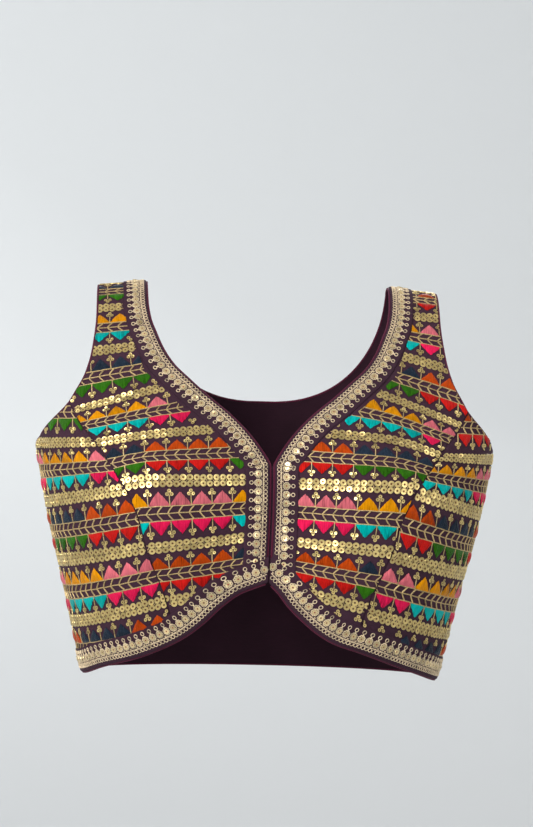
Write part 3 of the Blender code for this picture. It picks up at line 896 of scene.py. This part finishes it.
def add_turnings(shell, first, second):
    """One strip behind two edges, from the first's places through the seam to the second's."""
    shell.grid(*(np.concatenate([a, b[:, ::-1]], axis=1) for a, b in zip(first, second)),
               TURNING_BACK, TURNING_FRONT)


def seam_allowance(shell, side):
    """The turnings of the side seam, which lie behind both panels and close the seam."""
    z = np.linspace(UNDERARM, BACK_HEM + 2 * MM, 60)[:, None]
    angle = RIGHT_ANGLE - TURNING_REACH[None, :] / CREASE_RADIUS
    add_turnings(shell, *(surface(side, angle, z, front) for front in (True, False)))


UNDERLAP_TOP, UNDERLAP_FOOT, UNDERLAP_MIDDLE = -0.158, -0.2545, 0.3 * MM


def underlap(shell):
    """The placket of the left front, which reaches behind the right front and closes the gap."""
    x = np.concatenate([TURNING_REACH[:-1], [UNDERLAP_MIDDLE]])[None, :]
    z = np.linspace(UNDERLAP_TOP, UNDERLAP_FOOT, 40)[:, None]
    angle = angle_of(x + 0 * z, z + 0 * x, True)
    add_turnings(shell, *(surface(side, angle, z, True) for side in ("R", "L")))


def back_rows():
    """For each row of the back's grid: its inner end's distance and height, and its outer end's height."""
    fan = np.linspace(0, 1, 30)
    turn = fan**1.3 * RIGHT_ANGLE
    neck_z = SHOULDER_SEAM + (BACK_NECK_BOTTOM - SHOULDER_SEAM) * np.sin(turn)
    neck_x = BACK_NECK_HALF_WIDTH * np.maximum(np.cos(turn), 0.0) ** 0.8
    arm_z = SHOULDER_SEAM + (BACK_NECK_BOTTOM - SHOULDER_SEAM) * fan**1.4
    level = BACK_NECK_BOTTOM + (UNDERARM - BACK_NECK_BOTTOM) * (1 - (1 - np.linspace(0, 1, 16)[1:]) ** 1.7)
    low = UNDERARM + (BACK_HEM - UNDERARM) * eased(54)[1:]
    inner_z = np.concatenate([neck_z, level, low])
    outer_z = np.concatenate([arm_z, level, low])
    inner_x = np.concatenate([neck_x, np.zeros(len(level) + len(low))])
    return inner_x, inner_z, outer_z


def back_shell(name):
    """Both halves of the back as one wall, from the left side round the middle to the right."""
    inner_x, inner_z, outer_z = back_rows()
    shares = np.concatenate([[0.0, 0.004, 0.010], np.linspace(0.02, 1, 44)])[::-1]
    inner = angle_of(inner_x, inner_z, False)
    outer = back_armhole(outer_z)
    z = inner_z[:, None] + (outer_z - inner_z)[:, None] * shares
    angle = inner[:, None] + (outer - inner)[:, None] * shares
    halves = {side: surface(side, angle, z, False) for side in ("R", "L")}
    below = outer_z <= BACK_NECK_BOTTOM
    shell = Shell()
    dip = seam_dip(shares, 0.6 * MM)
    join = [
        np.concatenate([right[below], left[below][:, ::-1][:, 1:]], axis=1)
        for right, left in zip(halves["R"], halves["L"])
    ]
    dips = np.concatenate([dip, dip[::-1][1:]])
    seamed = (inner_z[below] <= UNDERARM)[:, None]
    shell.grid(*join, -WALL, 0.0, dips * seamed)
    above = outer_z >= BACK_NECK_BOTTOM
    for side in ("R", "L"):
        points, outward = halves[side][0][above], halves[side][1][above]
        shell.grid(points, outward, -WALL, 0.0)
    return shell.mesh(name, [CLOTH, LINING])


# ---- the lace bands
def softened(values, width):
    """Values along a run, averaged over width places."""
    kernel = np.hanning(width)
    return np.convolve(np.pad(values, width // 2, mode="edge"), kernel / kernel.sum(), mode="valid")


class NeckPath:
    """Places along the neck edge from the shoulder seam to the hem band; w runs away from the edge."""

    def __init__(self, side):
        self.side = side
        self.z = z = CENTRE_HEM * np.linspace(0, 1, 1400) ** 1.4
        self.x = x = front_edge(z)
        self.along = distances(place(side, angle_of(x, z, True), z, True))
        stretch = np.gradient(drop_at(z, True), -z)
        rise_x, rise_z = np.gradient(x), np.gradient(z) * stretch
        span = np.hypot(rise_x, rise_z)
        self.normal_x = softened(-rise_z / span, 41)
        self.normal_z = softened(rise_x / span / stretch, 41)

    def at(self, s, table):
        return np.interp(np.maximum(s, 0.0), self.along, table)

    def place(self, s, w, h):
        """Places at s along, w in from the edge and h out; before s = 0 it is over the shoulder."""
        x = self.at(s, self.x) + self.at(s, self.normal_x) * w
        z = np.minimum(self.at(s, self.z) + self.at(s, self.normal_z) * w, 0.0)
        floor = band_top(self.side, x) - 1.0 * MM
        short = z < floor
        points, outward = around_shoulder(self.side, x, np.maximum(z, floor), np.minimum(s, 0.0))
        return points + outward * h[..., None], outward, short


def around_shoulder(side, x, z, behind):
    """As surface for a distance from the middle; where behind is below 0 the place is on the back."""
    points, outward = surface(side, angle_of(x, z, True), z, True)
    back_z = height_at(-behind, False)
    back_points, back_out = surface(side, angle_of(x, back_z, False), back_z, False)
    over = (behind < 0)[..., None]
    return np.where(over, back_points, points), np.where(over, back_out, outward)


class HemPath:
    """Places along the front hem from the middle to the side seam; w runs up from the hem."""

    def __init__(self, side):
        self.side = side
        self.angle = eased_turn(np.linspace(0, 1, 1400))
        z = hem_at(side, self.angle)
        self.angle_level = distances(place(side, self.angle, z, True)[:, :2])
        slope = np.gradient(z, self.angle_level)
        lead = np.linspace(-0.030, -0.0002, 60)
        self.level = np.concatenate([lead, self.angle_level])
        self.z = np.concatenate([z[0] + lead * slope[3], z])
        rise, run = np.gradient(self.z), np.gradient(self.level)
        span = np.hypot(rise, run)
        self.along = distances(np.stack([self.level, self.z], 1))
        self.along -= np.interp(0.0, self.level, self.along)
        self.normal_level = softened(-rise / span, 31)
        self.normal_z = softened(run / span, 31)

    def at(self, s, table):
        return np.interp(s, self.along, table)

    def place(self, s, w, h):
        """Places at s along, w up from the hem and h out; short of the middle they are pulled back."""
        level = self.at(s, self.level) + self.at(s, self.normal_level) * w
        z = self.at(s, self.z) + self.at(s, self.normal_z) * w
        middle = EDGE_FROM_MIDDLE - 1.6 * MM
        angle = np.interp(np.maximum(level, middle), self.angle_level, self.angle)
        points, outward = surface(self.side, angle, z, True)
        return points + outward * h[..., None], outward, level < middle


# The greatest share of a lace figure's points that may be cut off, and of a figure that shows whole
MOST_LACE_CUT, WHOLE = 0.30, 0.0


def lay(stitching, path, shape, s, w, lift=0.0, turn=None, most_cut=MOST_LACE_CUT, **style):
    """Places copies of a shape along a lace band, but not those mostly cut off."""
    s, w = np.broadcast_arrays(np.asarray(s, float), w)
    on = ~path.place(s, w, np.zeros(len(s)))[2]
    if on.any():
        turn = None if turn is None else turn[on]
        add_copies(stitching, path, shape, s[on], w[on], LACE_BASE + lift, turn=turn,
                   most_cut=most_cut, most_corners=3, **style)


# Steps along the lace, the distance of each line of figures from its edge, and that edge's margin
ROSETTE_PITCH = 7.35 * MM
PICOT_PITCH = 3.5 * MM
PICOT_W, ROSETTE_W, LOOP_W = 1.75 * MM, 8.1 * MM, 13.9 * MM
NECK_MARGIN, HEM_MARGIN = 1.8 * MM, 3.0 * MM
LACE_BASE = GAP + BAND_WALL
PETALS = 8


def petals():
    """A ring of couched petals round a sequin."""
    parts = []
    t = np.linspace(0, np.pi, 5)[:, None]
    for angle in (np.arange(PETALS) + 0.5) * 2 * np.pi / PETALS:
        out = np.array([np.cos(angle), np.sin(angle)])
        aside = np.array([-out[1], out[0]])
        path = (out * (2.0 + 1.10 * np.sin(t)) - aside * 0.9 * np.cos(t)) * MM
        parts.append(strip(path, 0.85 * MM, 0.8 * MM))
    return merged(*parts)


def lace(path, low, high, margin, name):
    """The lace of one band: a picot chain, rosettes, and loops on stalks, couched in pale gold."""
    thread, gold, heart = Stitching(), Stitching(), Stitching()
    picot, rosette, loop = margin + PICOT_W, margin + ROSETTE_W, margin + LOOP_W
    picots = np.arange(low, high, PICOT_PITCH)
    lay(thread, path, thread_ring(1.80 * MM, 0.58 * MM), picots, picot)
    chain = np.arange(low, high, PICOT_PITCH / 2)
    link_path = [(0, -0.18 * MM), (PICOT_PITCH / 4, 0.18 * MM), (PICOT_PITCH / 2, -0.18 * MM)]
    link = strip(link_path, 0.8 * MM, 0.75 * MM)
    lay(thread, path, link, chain, picot + 2.0 * MM)
    rosettes = np.arange(low + 0.5 * ROSETTE_PITCH, high, ROSETTE_PITCH)
    lay(thread, path, petals(), rosettes, rosette, turn=RNG.normal(0, 0.06, len(rosettes)))
    lay(gold, path, sequin(2.25 * MM), rosettes, rosette, 0.35 * MM, tilt=0.12)
    lay(heart, path, disc([0.05 * MM, 0.80 * MM], [1.0 * MM, 0.6 * MM], 8), rosettes, rosette)
    stalk = strip([(0, -1.6 * MM), (0.1 * MM, -0.4 * MM), (0, 0.9 * MM)], 1.2 * MM, 0.7 * MM)
    lay(thread, path, stalk, rosettes, loop - 2.3 * MM, most_cut=WHOLE)
    lay(thread, path, thread_ring(1.85 * MM, 0.68 * MM), rosettes, loop, most_cut=WHOLE)
    brace = strip([(-0.8 * MM, 1.1 * MM), (0, 0), (0.8 * MM, 1.1 * MM)], 0.7 * MM, 0.6 * MM)
    lay(thread, path, brace, rosettes + 0.5 * ROSETTE_PITCH, rosette - 3.6 * MM)
    return [
        thread.mesh(f"{name}_lace", [LACE]),
        gold.mesh(f"{name}_sequins", [LACE_SEQUIN]),
        heart.mesh(f"{name}_centres", [HEART]),
    ]


def band_shell(path, low, high, count, name):
    """The band's own cloth, rolled under at both long edges."""
    shares = eased(12, (0.0, 0.02, 0.05, 0.10))
    s, share = np.broadcast_arrays(np.linspace(low, high, count)[:, None], shares)
    rolled = np.clip(np.minimum(share, 1 - share) / 0.05, 0.0, 1.0) ** 0.5
    points, outward, _ = path.place(s, BAND_WIDTH * share, GAP + BAND_WALL * rolled)
    shell = Shell()
    shell.grid(points, outward, -0.7 * BAND_WALL, 0.0)
    return shell.mesh(name, [BAND, BAND])


# ---- piping
def tube(name, runs, way, closed=False):
    """A tube of bias cloth beside an edge, from runs of points on it and their outward directions.

    Way is 1 where the tube lies to the left of the run, seen from outside, and -1 to its right."""
    points, outward = joined(runs)
    if closed:
        ahead, behind = np.roll(points, -1, axis=0), np.roll(points, 1, axis=0)
    else:
        ahead = np.concatenate([points[1:], points[-1:]])
        behind = np.concatenate([points[:1], points[:-1]])
    beside = np.cross(ahead - behind, outward)
    beside *= way / np.linalg.norm(beside, axis=1, keepdims=True)
    centres = points - outward * WALL / 2 + beside * (PIPING_RADIUS - GAP)
    curve = bpy.data.curves.new(name, "CURVE")
    curve.dimensions = "3D"
    curve.bevel_depth = PIPING_RADIUS
    curve.bevel_resolution = 3
    curve.use_fill_caps = not closed
    spline = curve.splines.new("POLY")
    spline.points.add(len(centres) - 1)
    spline.points.foreach_set("co", np.column_stack([centres, np.ones(len(centres))]).ravel())
    spline.use_cyclic_u = closed
    curve.materials.append(PIPING)
    return linked(name, curve)


def joined(runs):
    return [np.concatenate(arrays) for arrays in zip(*runs)]


OVER_SHOULDER = SHOULDER_SEAM * np.array([1.0, 0.5, 0.2, 0.05])


def neck_run(side):
    """The neck edge of one side, from the middle of the back up and down to the front hem."""
    inner_x, inner_z, _ = back_rows()
    fan = slice(28, 0, -1)
    front_z = CENTRE_HEM * np.linspace(0, 1, 150) ** 1.4
    return joined([
        surface(side, angle_of(inner_x[fan], inner_z[fan], False), inner_z[fan], False),
        surface(side, angle_of(front_edge(OVER_SHOULDER), OVER_SHOULDER, False), OVER_SHOULDER, False),
        surface(side, angle_of(front_edge(front_z), front_z, True), front_z, True),
    ])


def neck_tube():
    right, left = neck_run("R"), neck_run("L")
    return tube("neck_piping_bias", [[array[::-1] for array in right], left], 1)


def hem_tube():
    angle = eased_turn(np.linspace(0.004, 1, 110))
    start = angle_of(np.array([EDGE_FROM_MIDDLE]), np.array([CENTRE_HEM]), True)[0]
    beyond = angle >= start
    runs = []
    for side, order in (("R", 1), ("L", -1)):
        front = surface(side, angle[beyond], hem_at(side, angle)[beyond], True)
        back = surface(side, angle[::-1][2:-1], np.full(len(angle) - 3, BACK_HEM), False)
        runs.append([array[::order] for array in joined([front, back])])
    return tube("hem_piping_bias", runs, -1)


def armhole_tube(side, name):
    """Over the shoulder, down the strap, under the arm and up the back again."""
    strap_z = PRINCESS_TOP * np.linspace(0, 1, 60) ** 1.5
    share = np.linspace(0, 1, 40)[1:]
    under_z = underarm(share)
    start = side_start(under_z)
    back_z = UNDERARM + (SHOULDER_SEAM - UNDERARM) * np.linspace(0, 1, 70)[1:-1] ** 1.3
    runs = [
        surface(side, angle_of(outer_edge(OVER_SHOULDER), OVER_SHOULDER, False), OVER_SHOULDER, False),
        surface(side, angle_of(outer_edge(strap_z), strap_z, True), strap_z, True),
        surface(side, start + (RIGHT_ANGLE - start) * share, under_z, True),
        surface(side, back_armhole(back_z), back_z, False),
    ]
    return tube(name, runs, -SIDE_SIGN[side], closed=True)


# ---- materials
class Nodes:
    """A short way to build a Principled material from nodes."""

    def __init__(self, name, roughness, metallic=0.0, sheen=0.0, specular=0.5):
        self.material = bpy.data.materials.new(name)
        self.material.use_nodes = True
        self.tree = self.material.node_tree
        self.shader = self.tree.nodes["Principled BSDF"]
        self.shader.inputs["Roughness"].default_value = roughness
        self.shader.inputs["Metallic"].default_value = metallic
        self.shader.inputs["Sheen Weight"].default_value = sheen
        self.shader.inputs["Specular IOR Level"].default_value = specular

    def fill(self, socket, value):
        if isinstance(value, bpy.types.NodeSocket):
            self.tree.links.new(value, socket)
        else:
            socket.default_value = value

    def node(self, kind, settings=(), **inputs):
        made = self.tree.nodes.new(kind)
        for key, value in dict(settings).items():
            setattr(made, key, value)
        for key, value in inputs.items():
            self.fill(made.inputs[key.replace("_", " ")], value)
        return made

    def link(self, output, name):
        self.tree.links.new(output, self.shader.inputs[name])

    def finished(self, tone, stops, height, strength, distance):
        """The material, coloured by a tone and raised by a height."""
        self.link(self.ramp(tone, stops), "Base Color")
        bump = self.node("ShaderNodeBump", Height=height, Strength=strength, Distance=distance)
        self.link(bump.outputs["Normal"], "Normal")
        return self.material

    def stretched(self, scale, where="UV"):
        coords = self.node("ShaderNodeTexCoord").outputs[where]
        return self.node("ShaderNodeMapping", Vector=coords, Scale=scale).outputs["Vector"]

    def noise(self, scale, detail=3.0, where="UV"):
        vector = self.stretched(scale, where)
        return self.node("ShaderNodeTexNoise", Vector=vector, Scale=1.0, Detail=detail).outputs["Fac"]

    def ramp(self, factor, stops):
        made = self.node("ShaderNodeValToRGB", Fac=factor)
        elements = made.color_ramp.elements
        elements[0].position, elements[0].color = stops[0][0], (*stops[0][1], 1.0)
        elements[1].position, elements[1].color = stops[-1][0], (*stops[-1][1], 1.0)
        for position, colour in stops[1:-1]:
            elements.new(position).color = (*colour, 1.0)
        return made.outputs["Color"]

    def mapped(self, value, low, high, start=0.0, end=1.0):
        limits_of_it = {"From_Min": start, "From_Max": end, "To_Min": low, "To_Max": high}
        return self.node("ShaderNodeMapRange", Value=value, **limits_of_it).outputs["Result"]

    def math(self, operation, a, b):
        made = self.node("ShaderNodeMath", {"operation": operation})
        for socket, value in zip(made.inputs, (a, b)):
            self.fill(socket, value)
        return made.outputs[0]

    def total(self, first, *others):
        """The sum of values, each given with its weight."""
        value = self.math("MULTIPLY", *first)
        for other in others:
            value = self.math("ADD", value, self.math("MULTIPLY", *other))
        return value

    def vary(self):
        return self.node("ShaderNodeAttribute", {"attribute_name": "vary"}).outputs["Fac"]


def shade(colour, factor):
    return tuple(min(channel * factor, 1.0) for channel in colour)


def woven(name, colour, sheen, roughness=0.78):
    """Plain-woven cloth: crossed threads, slubs and slow changes of tone."""
    made = Nodes(name, roughness, sheen=sheen, specular=0.12)
    made.shader.inputs["Sheen Tint"].default_value = (0.80, 0.45, 0.62, 1.0)
    made.shader.inputs["Sheen Roughness"].default_value = 0.45
    warp, weft = (
        made.node("ShaderNodeTexWave", {"bands_direction": axis}, Vector=made.stretched((1.0, 1.0, 1.0)),
                  Scale=620.0, Distortion=1.5, Detail=2.0, Detail_Scale=0.6).outputs["Fac"]
        for axis in "XY"
    )
    weave = made.math("MULTIPLY", warp, weft)
    slubs = made.noise((90.0, 900.0, 1.0), 4.0)
    tone = made.noise((22.0, 22.0, 22.0), 3.0, "Object")
    mixed = made.total((weave, 0.30), (slubs, 0.45), (tone, 0.45))
    made.link(made.mapped(slubs, roughness - 0.12, roughness + 0.1), "Roughness")
    folds = made.noise((60.0, 60.0, 60.0), 3.0, "Object")
    stops = [(0.18, shade(colour, 0.55)), (0.55, colour), (0.95, shade(colour, 1.6))]
    return made.finished(mixed, stops, made.total((weave, 1.0), (slubs, 0.6), (folds, 2.5)), 0.45, 0.0004)


def satin_thread(name, colour):
    """Long floats of silk thread laid side by side; painted highlights and shade streak the colour, as
    each thread catches the light a little differently.
    """
    made = Nodes(name, 0.42, specular=0.22)
    made.shader.inputs["Specular Tint"].default_value = (*shade(colour, 2.0), 1.0)
    threads = made.noise((1900.0, 60.0, 1.0), 3.0)
    patches = made.noise((260.0, 60.0, 1.0), 2.0)
    mixed = made.total((threads, 0.7), (patches, 0.3), (made.math("SUBTRACT", made.vary(), 0.5), 0.12))
    # Painted highlights and shade: the streaks run the colour from 0.28 to 1.5 times its own.
    painted_streak_tones = [(0.33, 0.28), (0.44, 0.80), (0.54, 1.04), (0.68, 1.50)]
    stops = [(position, shade(colour, factor)) for position, factor in painted_streak_tones]
    return made.finished(mixed, stops, threads, 1.0, 0.0011)


def metal_thread(name, colour, roughness, metallic):
    """Metallic zari thread: a tight twist with broken glints."""
    made = Nodes(name, roughness, metallic=metallic, specular=0.5)
    twist = made.noise((900.0, 900.0, 1.0), 3.0)
    mixed = made.total((twist, 0.8), (made.vary(), 0.2))
    made.link(made.mapped(twist, roughness - 0.15, roughness + 0.2), "Roughness")
    stops = [(0.30, shade(colour, 0.35)), (0.52, colour), (0.75, shade(colour, 1.35))]
    return made.finished(mixed, stops, twist, 0.9, 0.0006)


KNOT = (0.150, 0.070, 0.030)


def sequin_foil(name, colour, roughness):
    """Gilded plastic film, slightly different on each sequin and scuffed."""
    made = Nodes(name, roughness, metallic=1.0)
    scuffs = made.noise((500.0, 500.0, 500.0), 4.0, "Object")
    mixed = made.total((made.vary(), 0.7), (scuffs, 0.3))
    made.link(made.mapped(scuffs, roughness - 0.1, roughness + 0.14), "Roughness")
    stops = [(0.0, KNOT), (0.06, shade(colour, 0.72)), (0.5, colour), (0.9, shade(colour, 1.22))]
    return made.finished(mixed, stops, scuffs, 0.25, 0.0004)


CLOTH = woven("purple_cloth", (0.040, 0.0160, 0.028), 0.03)
LINING = woven("purple_lining", (0.028, 0.009, 0.017), 0.02)
BAND = woven("band_cloth", (0.036, 0.0145, 0.0255), 0.03)
PIPING = woven("bias_cloth", (0.085, 0.009, 0.028), 0.10, 0.62)
COLOURS = {
    "pink": (0.56, 0.122, 0.150), "mustard": (0.56, 0.215, 0.002), "magenta": (0.61, 0.010, 0.068),
    "turquoise": (0.0, 0.340, 0.320), "orange": (0.38, 0.046, 0.004), "navy": (0.014, 0.023, 0.038),
    "red": (0.45, 0.010, 0.008), "green": (0.023, 0.108, 0.005),
}
SATIN = [satin_thread(f"satin_{name}", COLOURS[name]) for name in SATINS]
ZARI = metal_thread("zari_thread", (0.50, 0.36, 0.16), 0.42, 0.40)
LACE = metal_thread("lace_thread", (0.70, 0.56, 0.37), 0.48, 0.30)
SEQUIN = sequin_foil("sequin_gold", (0.62, 0.48, 0.20), 0.37)
LACE_SEQUIN = sequin_foil("sequin_pale_gold", (0.72, 0.58, 0.32), 0.30)
HEART = satin_thread("rosette_centre", (0.30, 0.075, 0.055))


def keep(piece, *nodes, slot="embroidered_cloth"):
    """Puts a piece on the part's one body, in place of the nodes that it stands for."""
    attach(piece, "root")
    if nodes:
        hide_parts(*nodes)
    return piece


def stitched_pieces(part, sides, name):
    """The embroidery of a panel, as a piece each for satin, sequins and gold thread."""
    satin, sequins, threads = Stitching(), Stitching(), Stitching()
    for side in sides:
        embroider(part, side, satin, sequins, threads)
    return [
        keep(satin.mesh(f"{name}_satin", SATIN)),
        keep(sequins.mesh(f"{name}_sequins", [SEQUIN], 35.0)),
        keep(threads.mesh(f"{name}_zari", [ZARI])),
    ]


# For each lace band: its path, where its cloth starts along that, how far short of the end it
# stops, its columns of points, then the same start and end for the lace, and the lace's margin
BANDS = {
    "neck": (NeckPath, -0.010, 0.0, 260, -0.009, 0.0, NECK_MARGIN),
    "hem": (HemPath, -0.0135, 0.0004, 240, -0.018, 0.001, HEM_MARGIN),
}


def build_band(kind, side):
    """One lace band and the lace on it."""
    path_kind, start, short, columns, lace_start, lace_short, margin = BANDS[kind]
    path = path_kind(side)
    end = path.along[-1]
    band = band_shell(path, start, end - short, columns, f"{kind}_band_{side}")
    keep(band, f"{kind}_border_{side}", slot="band_cloth")
    on_it = lace(path, lace_start, end - lace_short, margin, f"{kind}_{side}")
    [keep(piece, slot="band_cloth") for piece in on_it]


def build_front(side):
    """The two panels and the two lace bands of one side of the front."""
    for part, shell in (("centre", centre_shell), ("side", side_shell)):
        panel = keep(shell(side, f"{part}_cloth_{side}"), f"front_{part}_{side}")
        stitched_pieces(part, side, f"{part}_{side}")
    build_band("neck", side)
    build_band("hem", side)


def build_back_and_piping():
    """The back, its embroidery, and the piping round every edge."""
    back = keep(back_shell("back_cloth"), "back")
    on_it = stitched_pieces("back", ("R", "L"), "back")
    piping = [
        keep(neck_tube(), "neck_piping", slot="piping_cloth"),
        keep(hem_tube(), "hem_piping", slot="piping_cloth"),
    ]
    for side in ("R", "L"):
        bias = armhole_tube(side, f"armhole_bias_{side}")
        piping.append(keep(bias, f"armhole_piping_{side}", slot="piping_cloth"))


# ---- the studio
# Radius and height of the room's wall, from the middle of its floor up to its open top
ROOM = [(0.0, -1.2), (2.2, -1.2), (3.0, -1.12), (3.6, -0.85), (4.0, -0.35), (4.2, 0.4), (4.3, 3.4)]
ROOM_SIDES = 96
ROOM_COLOUR = (0.925, 0.945, 0.955)
# Name, place, size, power and colour of each light
LIGHTS = [
    ("key", (-2.1, -2.4, 1.5), 1.2, 118.0, (1.0, 0.985, 0.96)),
    ("fill", (2.4, -2.0, 0.7), 1.8, 27.0, (1.0, 0.99, 0.98)),
    ("top", (0.0, 0.2, 2.9), 2.2, 6.0, (1.0, 1.0, 1.0)),
    ("rear", (1.2, 3.0, 1.4), 1.8, 40.0, (1.0, 1.0, 1.0)),
]
LIT_POINT = Vector((0.0, 0.0, -0.18))
SKY_COLOUR, SKY_STRENGTH = (0.95, 0.97, 1.0, 1.0), 0.46
# The camera's lens in mm, distance and height, and its azimuth, roll and step to the side
LENS, DISTANCE, CAMERA_Z = 111.26, 2.3, -0.1139
AZIMUTH, ROLL, SIDESTEP = -0.04426, 0.02523, 0.0021


def room():
    """A pale seamless bowl with an open top, its floor well below the hanging blouse."""
    radii, heights = zip(*ROOM)
    verts, faces = disc(radii, heights, ROOM_SIDES)
    mesh = bpy.data.meshes.new("studio_sweep")
    mesh.from_pydata(verts, [], faces[:, ::-1])
    mesh.shade_smooth()
    made = linked("studio_sweep", mesh)
    subdivide = made.modifiers.new("smooth", "SUBSURF")
    subdivide.levels = subdivide.render_levels = 2
    mesh.materials.append(room_paint_painted_shade())


def room_paint_painted_shade():
    """Pale paint with painted shade: darker low down and to the right, away from the key light at the
    upper left.
    """
    paint = Nodes("studio_paint_painted_shade", 0.9, specular=0.1)
    place_in_room = paint.node("ShaderNodeTexCoord").outputs["Object"]
    axes = paint.node("ShaderNodeSeparateXYZ", Vector=place_in_room).outputs
    # Painted shade: the paint darkens towards the floor and towards the right, where less of the key light
    # falls.
    low = paint.mapped(axes["Z"], 0.66, 1.0, -1.15, -0.2)
    right = paint.mapped(axes["X"], 1.0, 0.80, -0.9, 1.1)
    tone = paint.math("MULTIPLY", low, right)
    paint.link(paint.ramp(tone, [(0.0, (0.0, 0.0, 0.0)), (1.0, ROOM_COLOUR)]), "Base Color")
    return paint.material


def area_light(name, location, size, power, colour):
    """A soft round light, turned to the blouse."""
    light = bpy.data.lights.new(name, "AREA")
    light.shape = "DISK"
    light.size = size
    light.energy = power
    light.color = colour
    made = linked(name, light)
    made.location = location
    made.rotation_euler = (LIT_POINT - Vector(location)).to_track_quat("-Z", "Y").to_euler()


def sky():
    world = bpy.data.worlds.new("studio_world")
    bpy.context.scene.world = world
    world.use_nodes = True
    background = world.node_tree.nodes["Background"].inputs
    background["Color"].default_value = SKY_COLOUR
    background["Strength"].default_value = SKY_STRENGTH
    bpy.context.scene.view_settings.view_transform = "Standard"


def set_camera():
    """Level with the upper blouse, about 2.5 degrees to one side, slightly rolled."""
    data = bpy.data.cameras.new("camera")
    data.lens = LENS
    camera = linked("camera", data)
    camera.location = (
        DISTANCE * np.sin(AZIMUTH) + SIDESTEP * np.cos(AZIMUTH),
        -DISTANCE * np.cos(AZIMUTH) + SIDESTEP * np.sin(AZIMUTH),
        CAMERA_Z,
    )
    facing_object = Euler((RIGHT_ANGLE, 0.0, AZIMUTH)).to_quaternion()
    camera.rotation_mode = "QUATERNION"
    camera.rotation_quaternion = facing_object @ Quaternion((0, 0, 1), ROLL)
    bpy.context.scene.camera = camera


for side in ("R", "L"):
    build_front(side)
build_back_and_piping()
room()
for light in LIGHTS:
    area_light(*light)
sky()
set_camera()
